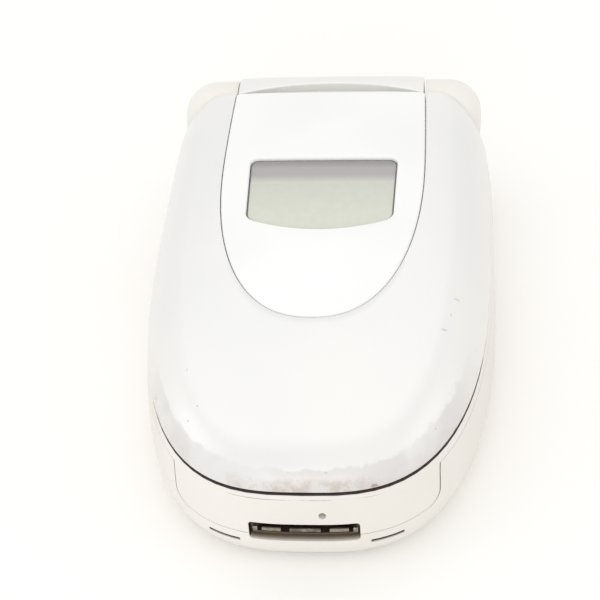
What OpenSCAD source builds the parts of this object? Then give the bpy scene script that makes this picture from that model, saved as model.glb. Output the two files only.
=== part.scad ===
// Clamshell mobile phone, closed, lying on its back.
// X runs across the phone, Y runs from the socket end to the hinge end, Z runs up from the back face.
// The origin is the middle of the back face. All sizes are millimetres.

/* [Body] */
// Length of the closed phone
body_length = 81; // [76:0.5:88]
// Width at the widest place
body_width = 49; // [47:0.5:54]
// How far the widest place lies behind the middle
widest_y = 6; // [3:0.5:9]
// Height of the base up to its rim
base_height = 12.3; // [12:0.1:13]
// Thickness of the housing walls at the rim
wall = 1.4; // [1.1:0.1:1.7]
// Height of the rounding under the base
belly_height = 4.5; // [3.5:0.1:5.5]
// How far that rounding draws in at the back face
belly_inset = 3.4; // [2.4:0.1:4.4]
// How far the base draws in at its rim
rim_inset = 0.9; // [0.6:0.1:1.2]
// Thickness of the back under the inner space
back_thickness = 2.2; // [2:0.1:2.6]
// Thickness of the keypad deck
deck_thickness = 1.2; // [1:0.1:1.4]
// Depth of the step behind the hinge barrel
rear_step = 1.4; // [1.3:0.05:1.6]

/* [Lid] */
// Gap between the rim of the base and the closed lid
lid_gap = 0.3; // [0.2:0.05:0.5]
// Height of the lid's rolled edge at the socket end
lid_front_height = 3.9; // [3.4:0.1:4.6]
// Width of the lid's rolled edge
lid_roll = 5.5; // [4.5:0.1:6.5]
// How far the lid's top falls towards its sides
lid_side_fall = 2.2; // [1.4:0.1:3]
// Thickness of the lid's top
lid_skin = 1.9; // [1.7:0.1:2.2]
// Depth of the inner face behind the lid's rim
inner_recess = 0.4; // [0.3:0.05:0.6]
// Thickness of the lid's inner housing
inner_thickness = 1.2; // [1:0.1:1.4]

/* [Insert] */
// Width of the U-shaped insert
insert_width = 28.8; // [26:0.2:30]
// Length of the insert's nearly straight sides
insert_side = 15; // [13:0.5:17]
// Reach of the insert from there to its tip
insert_reach = 31.7; // [28:0.1:34]
// Distance of the insert's straight edge before the hinge axis
insert_edge = 2.1; // [2:0.1:2.6]
// Thickness of the insert
insert_thickness = 1; // [0.8:0.1:1.1]
// How far the insert stands proud of the lid
insert_proud = 0.15; // [0.05:0.05:0.3]
// Seam round the insert
insert_seam = 0.12; // [0.08:0.02:0.2]
// Width of the outer window at its upper edge
window_width = 21.1; // [18:0.1:22]
// Distance of the window's upper edge from the insert's straight edge
window_edge = 15.9; // [14:0.1:18]
// Height of the outer window at its sides
window_height = 13.3; // [10:0.1:14]
// How far the lower edge of the window bulges
window_bulge = 1.7; // [0.8:0.1:2.2]
// Corner radius of the outer window
window_corner = 1.2; // [0.8:0.1:2]
// Depth of the outer window under the insert's face
window_depth = 0.5; // [0.3:0.05:0.7]
// Depth of the crescent behind the insert
crescent_depth = 1.4; // [0.9:0.1:1.6]
// Reach of the crescent behind the insert
crescent_reach = 2.3; // [1.6:0.1:3]

/* [Hinge] */
// Height of the hinge axis above the back face
hinge_z = 16.4; // [16.2:0.1:16.8]
// Radius of the hinge barrel at its middle
barrel_radius = 6.5; // [6.3:0.1:6.8]
// How far the barrel's radius falls to its ends
barrel_crown = 0.25; // [0.15:0.05:0.4]
// Length of the hinge barrel
barrel_length = 28; // [26:0.5:29]
// Side gap between the barrel and the knuckles
knuckle_gap = 0.25; // [0.2:0.05:0.4]
// Radius of the knuckles
knuckle_radius = 5.9; // [5.7:0.05:6.1]
// Length of a knuckle
knuckle_length = 8.4; // [8:0.1:8.6]
// Length of the rounding at the outer end of a knuckle
knuckle_round = 5; // [4:0.1:6]
// How far that rounding draws the knuckle in
knuckle_draw = 4.8; // [4:0.1:5.2]
// Step down from the lid's shoulders to the knuckles
shoulder_gap = 0.1; // [0:0.05:0.3]
// Clearance round the turning parts of the hinge
hinge_clearance = 0.3; // [0.25:0.05:0.4]
// Radius of the hinge cartridge
cartridge_radius = 3.95; // [3.6:0.05:4.1]
// Length of the hinge cartridge
cartridge_length = 11.7; // [10:0.1:12.5]
// Radius of the hinge shaft's nose
nose_radius = 1.85; // [1.5:0.05:2.1]
// Length of the hinge shaft's nose
nose_length = 5.3; // [4:0.1:6]
// Radius of the hinge bush and of the shaft's head
bush_radius = 3; // [2.8:0.05:3.3]
// Radius of the hole through the hinge bush
bush_bore = 2; // [1.6:0.1:2.2]
// Depth of the bush and the shaft in their knuckles
seat_depth = 5.2; // [4.5:0.1:5.6]
// Radial play of the running fits
running_play = 0.05; // [0.03:0.01:0.08]

/* [Keys] */
// Width of a number key
key_width = 9.6; // [9:0.1:10]
// Gap between two rows of number keys
key_row_gap = 1.6; // [1.2:0.1:2]
// Spacing of the number key columns
key_pitch_x = 11.4; // [10.8:0.1:11.8]
// Distance of the lowest key row from the socket end
key_row_start = 13.6; // [13.4:0.1:14]
// How far the outer columns are set back
key_row_bow = 1; // [0.6:0.1:1.2]
// How far the keys stand proud of the deck
key_proud = 0.25; // [0.15:0.05:0.3]
// Travel of a key
key_travel = 0.3; // [0.2:0.05:0.35]
// Clearance round a key
key_clearance = 0.15; // [0.1:0.01:0.2]
// Outer radius of the navigation ring
ring_radius = 9.2; // [8.6:0.1:9.6]
// Radius of the centre key
centre_radius = 3.8; // [3.2:0.1:4.4]
// Distance of the navigation ring's middle before the hinge axis
ring_back = 20.5; // [20:0.1:21.5]

/* [Socket] */
// Width of the socket opening
socket_width = 14; // [12:0.1:15]
// Height of the socket opening
socket_height = 3; // [2.6:0.1:3.2]
// Lower edge of the socket opening
socket_z = 4.7; // [4.4:0.1:5]
// Half width of the end apron
apron_half = 16.8; // [15:0.1:17.4]
// Height of the seam under the end apron
apron_z = 5.7; // [5.4:0.1:6]
// Length of a slot low on the end
slot_length = 4.4; // [3:0.1:5]
// Height of a slot low on the end
slot_height = 0.55; // [0.4:0.05:0.8]
// Middle of a slot from the centre line
slot_x = 10.75; // [10.2:0.05:11.2]
// Height of the slots above the back face
slot_z = 3.8; // [3.4:0.1:4]

/* [Battery] */
// Width of the battery
battery_width = 32.8; // [30:0.1:33]
// Distance of the battery's upper end before the hinge axis
battery_back = 24.8; // [24.4:0.1:29]
// Thickness of the battery
battery_thickness = 5; // [4.6:0.1:5.1]
// Play round the battery
battery_play = 0.15; // [0.1:0.05:0.3]
// Thickness of the battery bay's walls
bay_wall = 0.9; // [0.7:0.1:1]
// Distance of the battery's lower end from the socket end
battery_start = 10.2; // [10:0.1:11]
// Half width of the battery cover at the back face
cover_half = 17.6; // [17.3:0.1:17.8]
// Slant of the cover's side rails
cover_slant = 0.6; // [0.4:0.05:0.8]
// Thickness of the battery cover
cover_thickness = 1.2; // [1:0.1:1.3]
// Gap round the battery cover
cover_gap = 0.1; // [0.06:0.01:0.15]
// Seam between the front and the rear housing
housing_seam = 0.1; // [0.05:0.01:0.15]
// How far the battery cover runs past the battery bay
cover_margin = 4.05; // [3.6:0.05:5]

/* [Boards] */
// Thickness of the main board
board_thickness = 1; // [0.8:0.1:1.1]
// Space between the deck and the main board
board_depth = 1.2; // [1.1:0.05:1.3]
// Width of the inner window
inner_window_width = 33; // [30:0.5:34]
// Length of the inner window
inner_window_length = 40; // [36:0.5:41]
// How far the inner window's middle lies behind the lid's middle
inner_window_shift = 0.7; // [0:0.1:1.2]
// Thickness of the inner window
inner_window_thickness = 0.8; // [0.6:0.1:0.9]

/* [Hidden] */

$fn = 64;
cut = 1;

// The outline is a stretched superellipse: soft at the socket end, squarer at the hinge end.
outline_steps = 80;
inner_steps = 48;
front_reach = body_length / 2 + widest_y;
rear_reach = body_length / 2 - widest_y;
front_powers = [3, 2.6];
rear_powers = [6, 7];
front_end = -body_length / 2;

hinge_y = body_length / 2 - rim_inset - barrel_radius;
barrel_half = barrel_length / 2;
knuckle_start = barrel_half + knuckle_gap;
lid_z = base_height + lid_gap;
lid_peak_z = hinge_z + barrel_radius;
lid_fall = (lid_peak_z - lid_z - lid_front_height) / pow(hinge_y - front_end, 2);
lid_side_power = 4;
inner_face_z = lid_z + inner_recess;
inner_back_z = inner_face_z + inner_thickness;
lid_inner_inset = rim_inset + wall;

deck_z = base_height - deck_thickness;
board_top = deck_z - board_depth;
board_z = board_top - board_thickness;
shell_inset = rim_inset + wall;
turning_radius = barrel_radius + hinge_clearance;
trough_radius = turning_radius + 1;
board_end_y = hinge_y - trough_radius - 0.3;
board_inset_y = 5.2;
board_start_y = front_end + board_inset_y;
apron_back = front_end + 9;
apron_corner = 1.6;
step_y = hinge_y + 3;

bay_z = cover_thickness + battery_thickness + 2 * 0.1;
bay_top = bay_z + bay_wall;
battery_length = hinge_y - battery_back - front_end - battery_start;
battery_y = front_end + battery_start + battery_length / 2;
bay_width = battery_width + 2 * battery_play;
bay_length = battery_length + 2 * battery_play;
bay_start_y = battery_y - bay_length / 2;
bay_end_y = battery_y + bay_length / 2;
cover_end_y = bay_end_y + cover_margin;

insert_half = insert_width / 2;
insert_end_y = hinge_y - insert_edge;
insert_widest_y = insert_end_y - insert_side;
window_top_y = insert_end_y - window_edge;
insert_power = 2.4;
insert_taper = 0.2;
window_low_y = window_top_y - window_height;
window_draw = 0.3;
window_y = (window_top_y + window_low_y) / 2;
window_play = 0.05;

// Screws, with the bosses that they go into
screw_radius = 0.8;
screw_play = 0.05;
screw_head_radius = 1.6;
screw_head_height = 0.8;
screw_bite = 1.4;
boss_radius = 1.9;
counterbore_radius = 1.75;
front_screw_x = 0.271 * body_width;
rear_screw_x = body_width / 2 - 6.1;
base_screw_spots = [
    [-front_screw_x, front_end + 7.6], [front_screw_x, front_end + 7.6],
    [-rear_screw_x, hinge_y - 10.4], [rear_screw_x, hinge_y - 10.4]
];
lid_screw_x = 0.257 * body_width;
lid_screw_spots = [
    [-lid_screw_x, front_end + 12.5], [lid_screw_x, front_end + 12.5],
    [-rear_screw_x - 0.2, hinge_y - 13.1], [rear_screw_x + 0.2, hinge_y - 13.1]
];
lid_screw_bite = 1.6;

// Pieces inside the lid
inner_window_y = (front_end + hinge_y) / 2 + inner_window_shift;
window_bezel = 1.5;
glue_gap = 0.05;
display_glass = 0.4;
display_depth = 1.6;
lid_board_z = inner_face_z + inner_window_thickness + glue_gap + display_glass + display_depth;
lid_board_thickness = 0.6;
lid_board_end = inner_window_y + inner_window_length / 2;
lid_board_length = 34;
earpiece_y = front_end + 10;
earpiece_radius = 3.9;
earpiece_cap_radius = 2.6;
earpiece_height = 1;
magnet_x = 8.6;
magnet_radius = 1.8;
magnet_height = 1.3;
bumper_spot = [8.4, front_end + 6.2];
bumper_radius = 1.4;
flex_left = -8.4;
flex_right = -3.8;
flex_thickness = 0.3;
flex_roll_radius = 1.5;
flex_passage = 0.9;
outer_display_glass = 1;
outer_display_case = 1.3;

// Keys. The number rows share out the room between the socket end and the clear key.
dome_radius = 1.6;
dome_height = 0.25;
dome_sheet_thickness = 0.1;
dome_sheet_margin = 0.5;
key_flange = 0.4;
key_flange_z = board_top + dome_height + key_travel + 0.05;
key_flange_height = deck_z - key_flange_z - 0.02;
key_top = base_height + key_proud;
key_edge = 0.35;
key_edge_height = 0.15;
key_corner = 1.4;
key_row_y = front_end + key_row_start;
ring_y = hinge_y - ring_back;
ring_slope = 0.8;
clear_key_size = [8, 3.6];
clear_key_gap = 1;
clear_key_y = ring_y - ring_radius - clear_key_size.y / 2 - 1.3 * clear_key_gap;
number_rows = 4;
key_row_room = clear_key_y - clear_key_size.y / 2 - clear_key_gap - key_row_y;
key_pitch_y = (key_row_room + key_row_gap / 2) / (number_rows - 0.5);
key_height = key_pitch_y - key_row_gap;
side_key_size = [9, 5.6];
side_key_margin = 4.6;
side_key_x = (body_width - side_key_size.x) / 2 - side_key_margin;
side_key_rise = 4.7;

// Pieces inside the base
connector_y = front_end + 3.2;
connector_end_y = front_end + 8;
connector_wall = 0.9;
contact_row_pitch = 0.58;
tongue_z = socket_z + 0.55 * socket_height;
ringer_radius = 5.4;
ringer_spot = [rear_screw_x - boss_radius - ringer_radius - 0.1, hinge_y - 14];
ringer_height = 2;
ringer_cap_radius = 3.4;
ringer_cap_height = 0.8;
sound_slot_width = 0.6;
sound_slot_pitch = 1.3;
test_port_radius = 2;
test_port = [-6, cover_end_y + test_port_radius + 2.6];
mic_spot = [2.4, socket_z + socket_height + 1.45];
mic_hole_radius = 0.5;
mic_radius = 0.9;
mic_length = 1.6;
shield_half = 14;
shield_margin = 1;
shield_gap = 4;
shield_z = 5.4;
sim_half = 12.6;
sim_length = 15.2;
sim_wall = 1.2;
sim_margin = 3.4;
contact_pitch = 3.4;
contact_half = 0.9;
contact_depth = 2.2;
contact_low_z = cover_thickness + 1.6;
antenna_half = body_width / 2 - 7.5;
antenna_wall = 2;
antenna_plate_thickness = 0.3;
motor_x = 5.8 - rear_screw_x;
motor_y = board_end_y - 2;
motor_radius = 2;
motor_z = back_thickness + motor_radius + 0.1;
motor_length = 8;
motor_foot = 1.4;
weight_radius = 1.8;
weight_length = 2.8;
shaft_radius = 0.4;

// Volume rocker on the left side
rocker_y = hinge_y - 18.1;
rocker_length = 13;
rocker_height = 2.8;
rocker_z = 7;
rocker_proud = 0.5;
rocker_play = 0.25;
pivot_radius = 0.5;
rocker_root = -body_width / 2 + shell_inset;
pivot_x = rocker_root + 0.7;
switch_reach = 4.4;
switch_half = 1.6;
switch_depth = 1.4;

lid_colour = [0.84, 0.84, 0.83];
base_colour = [0.93, 0.92, 0.9];
dark = [0.12, 0.12, 0.13];

// ---- Outline and forms ----

function signed_power(v, e) = sign(v) * pow(abs(v), e);

function rim_point(t, inset) = let (
    front = sin(t) < 0,
    reach = front ? front_reach : rear_reach,
    powers = front ? front_powers : rear_powers
) [
    (body_width / 2 - inset) * signed_power(cos(t), 2 / powers.x),
    widest_y + (reach - inset) * signed_power(sin(t), 2 / powers.y)
];

function rim_outline(inset, steps = inner_steps) =
    [for (i = [0 : steps - 1]) rim_point(i * 360 / steps, inset)];

// Height of the lid's top: a long fall to the socket end and a soft fall to the sides
function lid_height(p) =
    lid_peak_z - lid_fall * pow(hinge_y - p.y, 2)
    - lid_side_fall * pow(abs(p.x) / (body_width / 2), lid_side_power);

function lifted(outline, lift) = [for (p = outline) [p.x, p.y, lid_height(p) + lift]];

function drawn_in(outline, centre, share) = [for (p = outline) centre + share * (p - centre)];

// Closed solid through a stack of rings, from the lowest up. Each ring runs anticlockwise
// seen from above. An end is a flat face, or a fan to the point given for it.
module loft(rings, low_point = undef, high_point = undef) {
    n = len(rings[0]);
    last = (len(rings) - 1) * n;
    points = concat(
        [for (ring = rings) each ring],
        is_undef(low_point) ? [] : [low_point],
        is_undef(high_point) ? [] : [high_point]
    );
    low_index = len(rings) * n;
    high_index = len(points) - 1;
    sides = [
        for (k = [0 : len(rings) - 2], i = [0 : n - 1])
            let (a = k * n + i, b = k * n + (i + 1) % n)
                each [[a, a + n, b + n], [a, b + n, b]]
    ];
    low_end = is_undef(low_point)
        ? [[for (i = [0 : n - 1]) i]]
        : [for (i = [0 : n - 1]) [i, (i + 1) % n, low_index]];
    high_end = is_undef(high_point)
        ? [[for (i = [0 : n - 1]) last + n - 1 - i]]
        : [for (i = [0 : n - 1]) [last + (i + 1) % n, last + i, high_index]];
    polyhedron(points, concat(sides, low_end, high_end));
}

// Base: a belly rounding at the back face, then sides that draw in a little to the rim
module base_form(steps = outline_steps) {
    belly = [for (f = [0 : 18 : 90]) [belly_inset * (1 - sin(f)), belly_height * (1 - cos(f))]];
    rise = base_height - belly_height;
    side = [for (f = [0.35, 0.7, 1]) [rim_inset * f * f, belly_height + rise * f]];
    loft([
        for (level = concat(belly, side))
            [for (p = rim_outline(level.x, steps)) [p.x, p.y, level.y]]
    ]);
}

// Lid: a quarter-round rolled edge, then the crowned top. Offset draws the whole form inwards.
module lid_form(offset = 0, drop = 0, steps = outline_steps) {
    edge = rim_inset + offset;
    roll = [
        for (f = [0, 12, 26, 42, 60, 90]) let (outline = rim_outline(edge + lid_roll * (1 - cos(f)), steps))
            [for (p = outline) [p.x, p.y, lid_z + (lid_height(p) - offset_top(offset) - lid_z) * sin(f)]]
    ];
    flat = rim_outline(edge + lid_roll, steps);
    centre = [0, widest_y];
    top = [
        for (share = [0.76, 0.52, 0.26])
            lifted(drawn_in(flat, centre, share), -offset_top(offset))
    ];
    foot = drop == 0 ? [] : [[for (p = rim_outline(edge, steps)) [p.x, p.y, lid_z - drop]]];
    loft(concat(foot, roll, top), high_point = lifted([centre], -offset_top(offset))[0]);
}

function offset_top(offset) = offset == 0 ? 0 : lid_skin;

// U-shaped outline: superellipse below, nearly straight sides and a straight edge above
function insert_outline(grow) = let (
    half = insert_half + grow,
    rise = insert_end_y + grow - insert_widest_y,
    right = [for (k = [0 : 3]) [half - insert_taper * pow(k / 3, 2), insert_widest_y + rise * k / 3]],
    top = [for (k = [2 : -1 : -2]) [(half - insert_taper) * k / 3, insert_end_y + grow]],
    left = [for (k = [3 : -1 : 0]) [-right[k].x, right[k].y]],
    bowl = [
        for (t = [190 : 10 : 350])
            [half * signed_power(cos(t), 2 / insert_power),
             insert_widest_y + (insert_reach + grow) * signed_power(sin(t), 2 / insert_power)]
    ]
) concat(right, top, left, bowl);

function corner(x, y, r, start) = [for (a = [start : 30 : start + 90]) [x + r * cos(a), y + r * sin(a)]];

// Outer window: straight upper edge, slightly narrower below, with a bulging lower edge
function window_outline(grow) = let (
    top_half = window_width / 2 + grow,
    low_half = top_half - window_draw,
    high = window_top_y + grow,
    low = window_low_y - grow,
    r = window_corner + grow
) concat(
    corner(top_half - r, high - r, r, 0),
    corner(-top_half + r, high - r, r, 90),
    corner(-low_half + r, low + r, r, 180),
    [for (k = [-0.6, -0.3, 0, 0.3, 0.6]) [k * (low_half - r), low - window_bulge * (1 - k * k)]],
    corner(low_half - r, low + r, r, 270)
);

// Plate between two outlines that follow the lid's top
module lid_plate(outline, centre, low, high, edge_round = 0) {
    inner = edge_round > 0 ? drawn_in(outline, centre, 1 - edge_round / insert_half) : outline;
    rings = concat(
        [for (share = [0.4, 0.75]) lifted(drawn_in(outline, centre, share), low)],
        [lifted(outline, low), lifted(outline, high - edge_round)],
        edge_round > 0 ? [lifted(inner, high)] : [],
        [for (share = [0.75, 0.4]) lifted(drawn_in(outline, centre, share), high)]
    );
    loft(rings, lifted([centre], low)[0], lifted([centre], high)[0]);
}

// ---- Simple shapes ----

module rounded_rect(size, r) {
    square([size.x - 2 * r, size.y], center = true);
    square([size.x, size.y - 2 * r], center = true);
    for (x = [-1, 1], y = [-1, 1])
        translate([x * (size.x / 2 - r), y * (size.y / 2 - r)])
            circle(r, $fn = 32);
}

module block(low, high) {
    translate(low)
        cube(high - low);
}

// Solid of revolution along the hinge axis, from a profile of [radius, distance along X]
module turned(profile) {
    translate([0, hinge_y, hinge_z])
        rotate([0, 90, 0])
            rotate_extrude()
                polygon(profile);
}

module hinge_rod(radius, from, to) {
    turned([[0, from], [radius, from], [radius, to], [0, to]]);
}

module at_spots(spots, z) {
    for (spot = spots)
        translate([spot.x, spot.y, z])
            children();
}

module rim_prism(inset, low, high) {
    translate([0, 0, low])
        linear_extrude(high - low)
            polygon(rim_outline(inset));
}

// ---- Lid ----

module barrel_form() {
    crown = [for (k = [-1 : 0.25 : 1]) [barrel_radius - barrel_crown * k * k, barrel_half * k]];
    turned(concat([[0, -barrel_half]], crown, [[0, barrel_half]]));
}

// Behind the insert's straight edge the lid is cut down to a crescent, as deep as its own value
module crescent_cut() {
    chord = barrel_half - 0.4;
    radius = (chord * chord + crescent_reach * crescent_reach) / (2 * crescent_reach);
    start = insert_end_y + insert_seam;
    floor_radius = barrel_radius - crescent_depth;
    difference() {
        intersection() {
            translate([0, start + crescent_reach - radius, hinge_z])
                cylinder(r = radius, h = barrel_radius + cut, $fn = 128);
            block([-chord, start - 0.01, hinge_z], [chord, hinge_y + barrel_radius, lid_peak_z + cut]);
        }
        hinge_rod(floor_radius, -barrel_half - cut, barrel_half + cut);
        block([-barrel_half, start - cut, hinge_z], [barrel_half, hinge_y, hinge_z + floor_radius]);
    }
}

// Room for a knuckle behind a shoulder of the lid
module shoulder_cut(side) {
    width = body_width - barrel_half;
    translate([side * (barrel_half + width / 2), hinge_y, hinge_z + barrel_radius])
        cube([width, 2 * (insert_edge - shoulder_gap), 2 * barrel_radius], center = true);
}

module lid_outer_housing() {
    color(lid_colour)
        difference() {
            union() {
                intersection() {
                    lid_form();
                    block([-body_width, front_end - cut, lid_z - cut],
                        [body_width, hinge_y, lid_peak_z + cut]);
                }
                barrel_form();
            }
            difference() {
                lid_form(wall, cut, inner_steps);
                block([-body_width, hinge_y - turning_radius - 1, 0], [body_width, body_length, lid_peak_z]);
                at_spots(lid_screw_spots, inner_back_z)
                    cylinder(r = boss_radius, h = barrel_radius);
            }
            lid_plate(insert_outline(insert_seam), [0, window_y], -insert_thickness, insert_proud + cut);
            translate([0, 0, inner_back_z])
                linear_extrude(lid_peak_z)
                    polygon(window_outline(-0.6));
            crescent_cut();
            for (side = [-1, 1]) {
                hinge_rod(knuckle_radius + hinge_clearance, side * barrel_half, side * body_width);
                shoulder_cut(side);
            }
            hinge_rod(cartridge_radius + running_play, barrel_half - cartridge_length - 0.1, body_width);
            hinge_rod(bush_radius + running_play, -body_width, flex_right + 0.4);
            // Passage of the flex cable from the lid into the barrel
            block([flex_left - 0.4, lid_board_end, hinge_z - flex_passage],
                [flex_right + 0.4, hinge_y + 2 * flex_passage, hinge_z + flex_passage]);
            at_spots(lid_screw_spots, inner_back_z - cut)
                cylinder(r = screw_radius, h = lid_screw_bite + 0.2 + cut);
            difference() {
                rim_prism(lid_inner_inset, lid_z - cut, inner_back_z);
                hinge_rod(turning_radius, -body_width, body_width);
                block([-body_width, hinge_y, 0], [body_width, body_length, hinge_z]);
            }
        }
}

module lid_insert() {
    color("white")
        difference() {
            lid_plate(insert_outline(0), [0, window_y], -insert_thickness, insert_proud, 0.25);
            translate([0, 0, inner_back_z])
                linear_extrude(lid_peak_z)
                    polygon(window_outline(0));
        }
}

module outer_window() {
    color([0.8, 0.81, 0.78, 0.6])
        lid_plate(window_outline(-window_play), [0, window_y], insert_proud - insert_thickness,
            insert_proud - window_depth);
}

module outer_display() {
    tilt = atan(2 * lid_fall * (hinge_y - window_y));
    top = lid_height([window_width / 2, window_y]) + insert_proud - insert_thickness - display_glass;
    color([0.62, 0.64, 0.6])
        translate([0, window_y, top])
            rotate([tilt, 0, 0]) {
                translate([0, 0, -outer_display_glass])
                    linear_extrude(outer_display_glass)
                        square([window_width - 2 * window_bezel, window_height - window_bezel],
                            center = true);
                translate([0, 0, -outer_display_glass - outer_display_case])
                    linear_extrude(outer_display_case)
                        square([window_width + window_bezel, window_height + window_bezel], center = true);
            }
}

module lid_inner_housing() {
    hook = [inner_window_width + 2 * glue_gap, inner_window_length + 2 * glue_gap];
    opening = 2 * window_bezel;
    color(lid_colour)
        difference() {
            rim_prism(lid_inner_inset + 0.1, inner_face_z, inner_back_z);
            hinge_rod(turning_radius + 0.1, -body_width, body_width);
            block([-body_width, hinge_y, 0], [body_width, body_length, hinge_z]);
            translate([0, inner_window_y, inner_face_z - cut])
                linear_extrude(inner_window_thickness + glue_gap + cut)
                    rounded_rect(hook, 2.5);
            translate([0, inner_window_y, inner_face_z - cut])
                linear_extrude(inner_thickness + 2 * cut)
                    square([inner_window_width - opening, inner_window_length - opening], center = true);
            // Sound slots of the earpiece
            for (k = [-2 : 2])
                translate([0, earpiece_y + 1.1 * k, inner_face_z - cut])
                    linear_extrude(inner_thickness + 2 * cut)
                        rounded_rect([2 * earpiece_radius - 0.2 - abs(k) * 1.2, 0.5], 0.24);
            at_spots(lid_screw_spots, inner_face_z - cut)
                cylinder(r = screw_radius, h = inner_thickness + 2 * cut);
            at_spots(lid_screw_spots, inner_face_z - cut)
                cylinder(r = counterbore_radius, h = inner_thickness / 2 + cut);
        }
}

module inner_window() {
    color(dark)
        translate([0, inner_window_y, inner_face_z])
            linear_extrude(inner_window_thickness)
                rounded_rect([inner_window_width, inner_window_length], 2.4);
}

module inner_display() {
    glass = 2 * window_bezel + 0.4;
    color([0.25, 0.27, 0.3])
        translate([0, inner_window_y, inner_face_z + inner_window_thickness + glue_gap]) {
            linear_extrude(display_glass)
                square([inner_window_width - glass, inner_window_length - glass], center = true);
            translate([0, 0, display_glass])
                linear_extrude(display_depth)
                    square([inner_window_width - glass - 1, inner_window_length - glass - 1], center = true);
        }
}

module lid_board() {
    half = inner_window_width / 2 - 2.5;
    color("darkgreen")
        block([-half, lid_board_end - lid_board_length, lid_board_z],
            [half, lid_board_end, lid_board_z + lid_board_thickness]);
}

module earpiece() {
    color("dimgray")
        translate([0, earpiece_y, inner_back_z]) {
            cylinder(r = earpiece_radius, h = earpiece_height);
            translate([0, 0, earpiece_height])
                cylinder(r = earpiece_cap_radius, h = 0.4 * earpiece_height);
        }
}

module lid_magnet() {
    color("silver")
        translate([magnet_x, earpiece_y, inner_back_z])
            cylinder(r = magnet_radius, h = magnet_height);
}

module lid_screws() {
    color("silver")
        at_spots(lid_screw_spots, inner_face_z + inner_thickness / 2) {
            cylinder(r = screw_radius - screw_play, h = inner_thickness / 2 + lid_screw_bite);
            mirror([0, 0, 1])
                cylinder(r = screw_head_radius - 0.1, h = 0.3);
        }
}

module lid_screw_plugs() {
    color("gainsboro")
        at_spots(lid_screw_spots, inner_face_z)
            cylinder(r = counterbore_radius - 0.05, h = inner_thickness / 2 - 0.32);
}

module lid_bumpers() {
    color("dimgray")
        at_spots([for (side = [-1, 1]) [side * bumper_spot.x, bumper_spot.y]], base_height + 0.1)
            cylinder(r = bumper_radius, h = lid_gap + inner_recess - 0.1);
}

// Flex cable of the lid: a flat ribbon that ends in a roll inside the barrel
module lid_flex() {
    color("orange") {
        block([flex_left, lid_board_end, hinge_z - flex_thickness / 2],
            [flex_right, hinge_y, hinge_z + flex_thickness / 2]);
        hinge_rod(flex_roll_radius, flex_left, flex_right);
    }
}

module hinge_cartridge() {
    end = barrel_half - 0.1;
    color("silver")
        difference() {
            hinge_rod(cartridge_radius, end - cartridge_length, end);
            hinge_rod(nose_radius + running_play, end - nose_length + 0.1, end + cut);
        }
}

// ---- Hinge parts held by the base ----

module hinge_shaft() {
    nose_end = knuckle_start + 0.1;
    color("gray") {
        hinge_rod(nose_radius, nose_end - nose_length, nose_end);
        intersection() {
            hinge_rod(bush_radius - running_play, nose_end, knuckle_start + seat_depth - 0.1);
            block([0, hinge_y - bush_radius, hinge_z - bush_radius * 0.75],
                [body_width, hinge_y + bush_radius, hinge_z + bush_radius * 0.75]);
        }
    }
}

module hinge_bush() {
    from = -knuckle_start - seat_depth + 0.1;
    to = -barrel_half + seat_depth - 0.1;
    color("gray")
        turned([[bush_bore, from], [bush_radius, from], [bush_radius, to], [bush_bore, to]]);
}

// ---- Base housings ----

module knuckle_form(side) {
    end = knuckle_start + knuckle_length;
    round_start = end - knuckle_round;
    arc = [
        for (a = [0 : 15 : 90])
            [knuckle_radius - knuckle_draw * (1 - cos(a)), round_start + knuckle_round * sin(a)]
    ];
    profile = concat([[0, knuckle_start], [knuckle_radius, knuckle_start]], arc, [[0, end]]);
    if (side > 0)
        turned(profile);
    else
        mirror([1, 0, 0])
            turned(profile);
}

// Space that belongs to the front housing: the deck, and the apron down the socket end
module front_region(grow = 0) {
    block([-body_width, front_end - cut, deck_z - grow], [body_width, body_length, base_height + cut]);
    translate([0, apron_back + grow, 0])
        rotate([90, 0, 0])
            linear_extrude(apron_back - front_end + cut + grow)
                translate([0, (apron_z + base_height) / 2 + apron_corner])
                    rounded_rect([2 * (apron_half + grow), base_height - apron_z + 2 * (grow + apron_corner)],
                        apron_corner);
}

// Behind the hinge the base is lower, so that the lid can swing back
module rear_step_cut() {
    block([-body_width, step_y, base_height - rear_step], [body_width, body_length, hinge_z]);
}

module socket_cut() {
    translate([0, apron_back, socket_z + socket_height / 2])
        rotate([90, 0, 0])
            linear_extrude(10)
                rounded_rect([socket_width, socket_height], 0.5);
}

module key_hole(spot, size) {
    translate([spot.x, spot.y, deck_z - cut])
        linear_extrude(deck_thickness + 2 * cut)
            rounded_rect([size.x + 2 * key_clearance, size.y + 2 * key_clearance], key_corner);
}

function key_spot(column, row) =
    [column * key_pitch_x, key_row_y + row * key_pitch_y + abs(column) * key_row_bow];

function side_key_spot(side, rise) = [side * side_key_x, ring_y + rise * side_key_rise];

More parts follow.
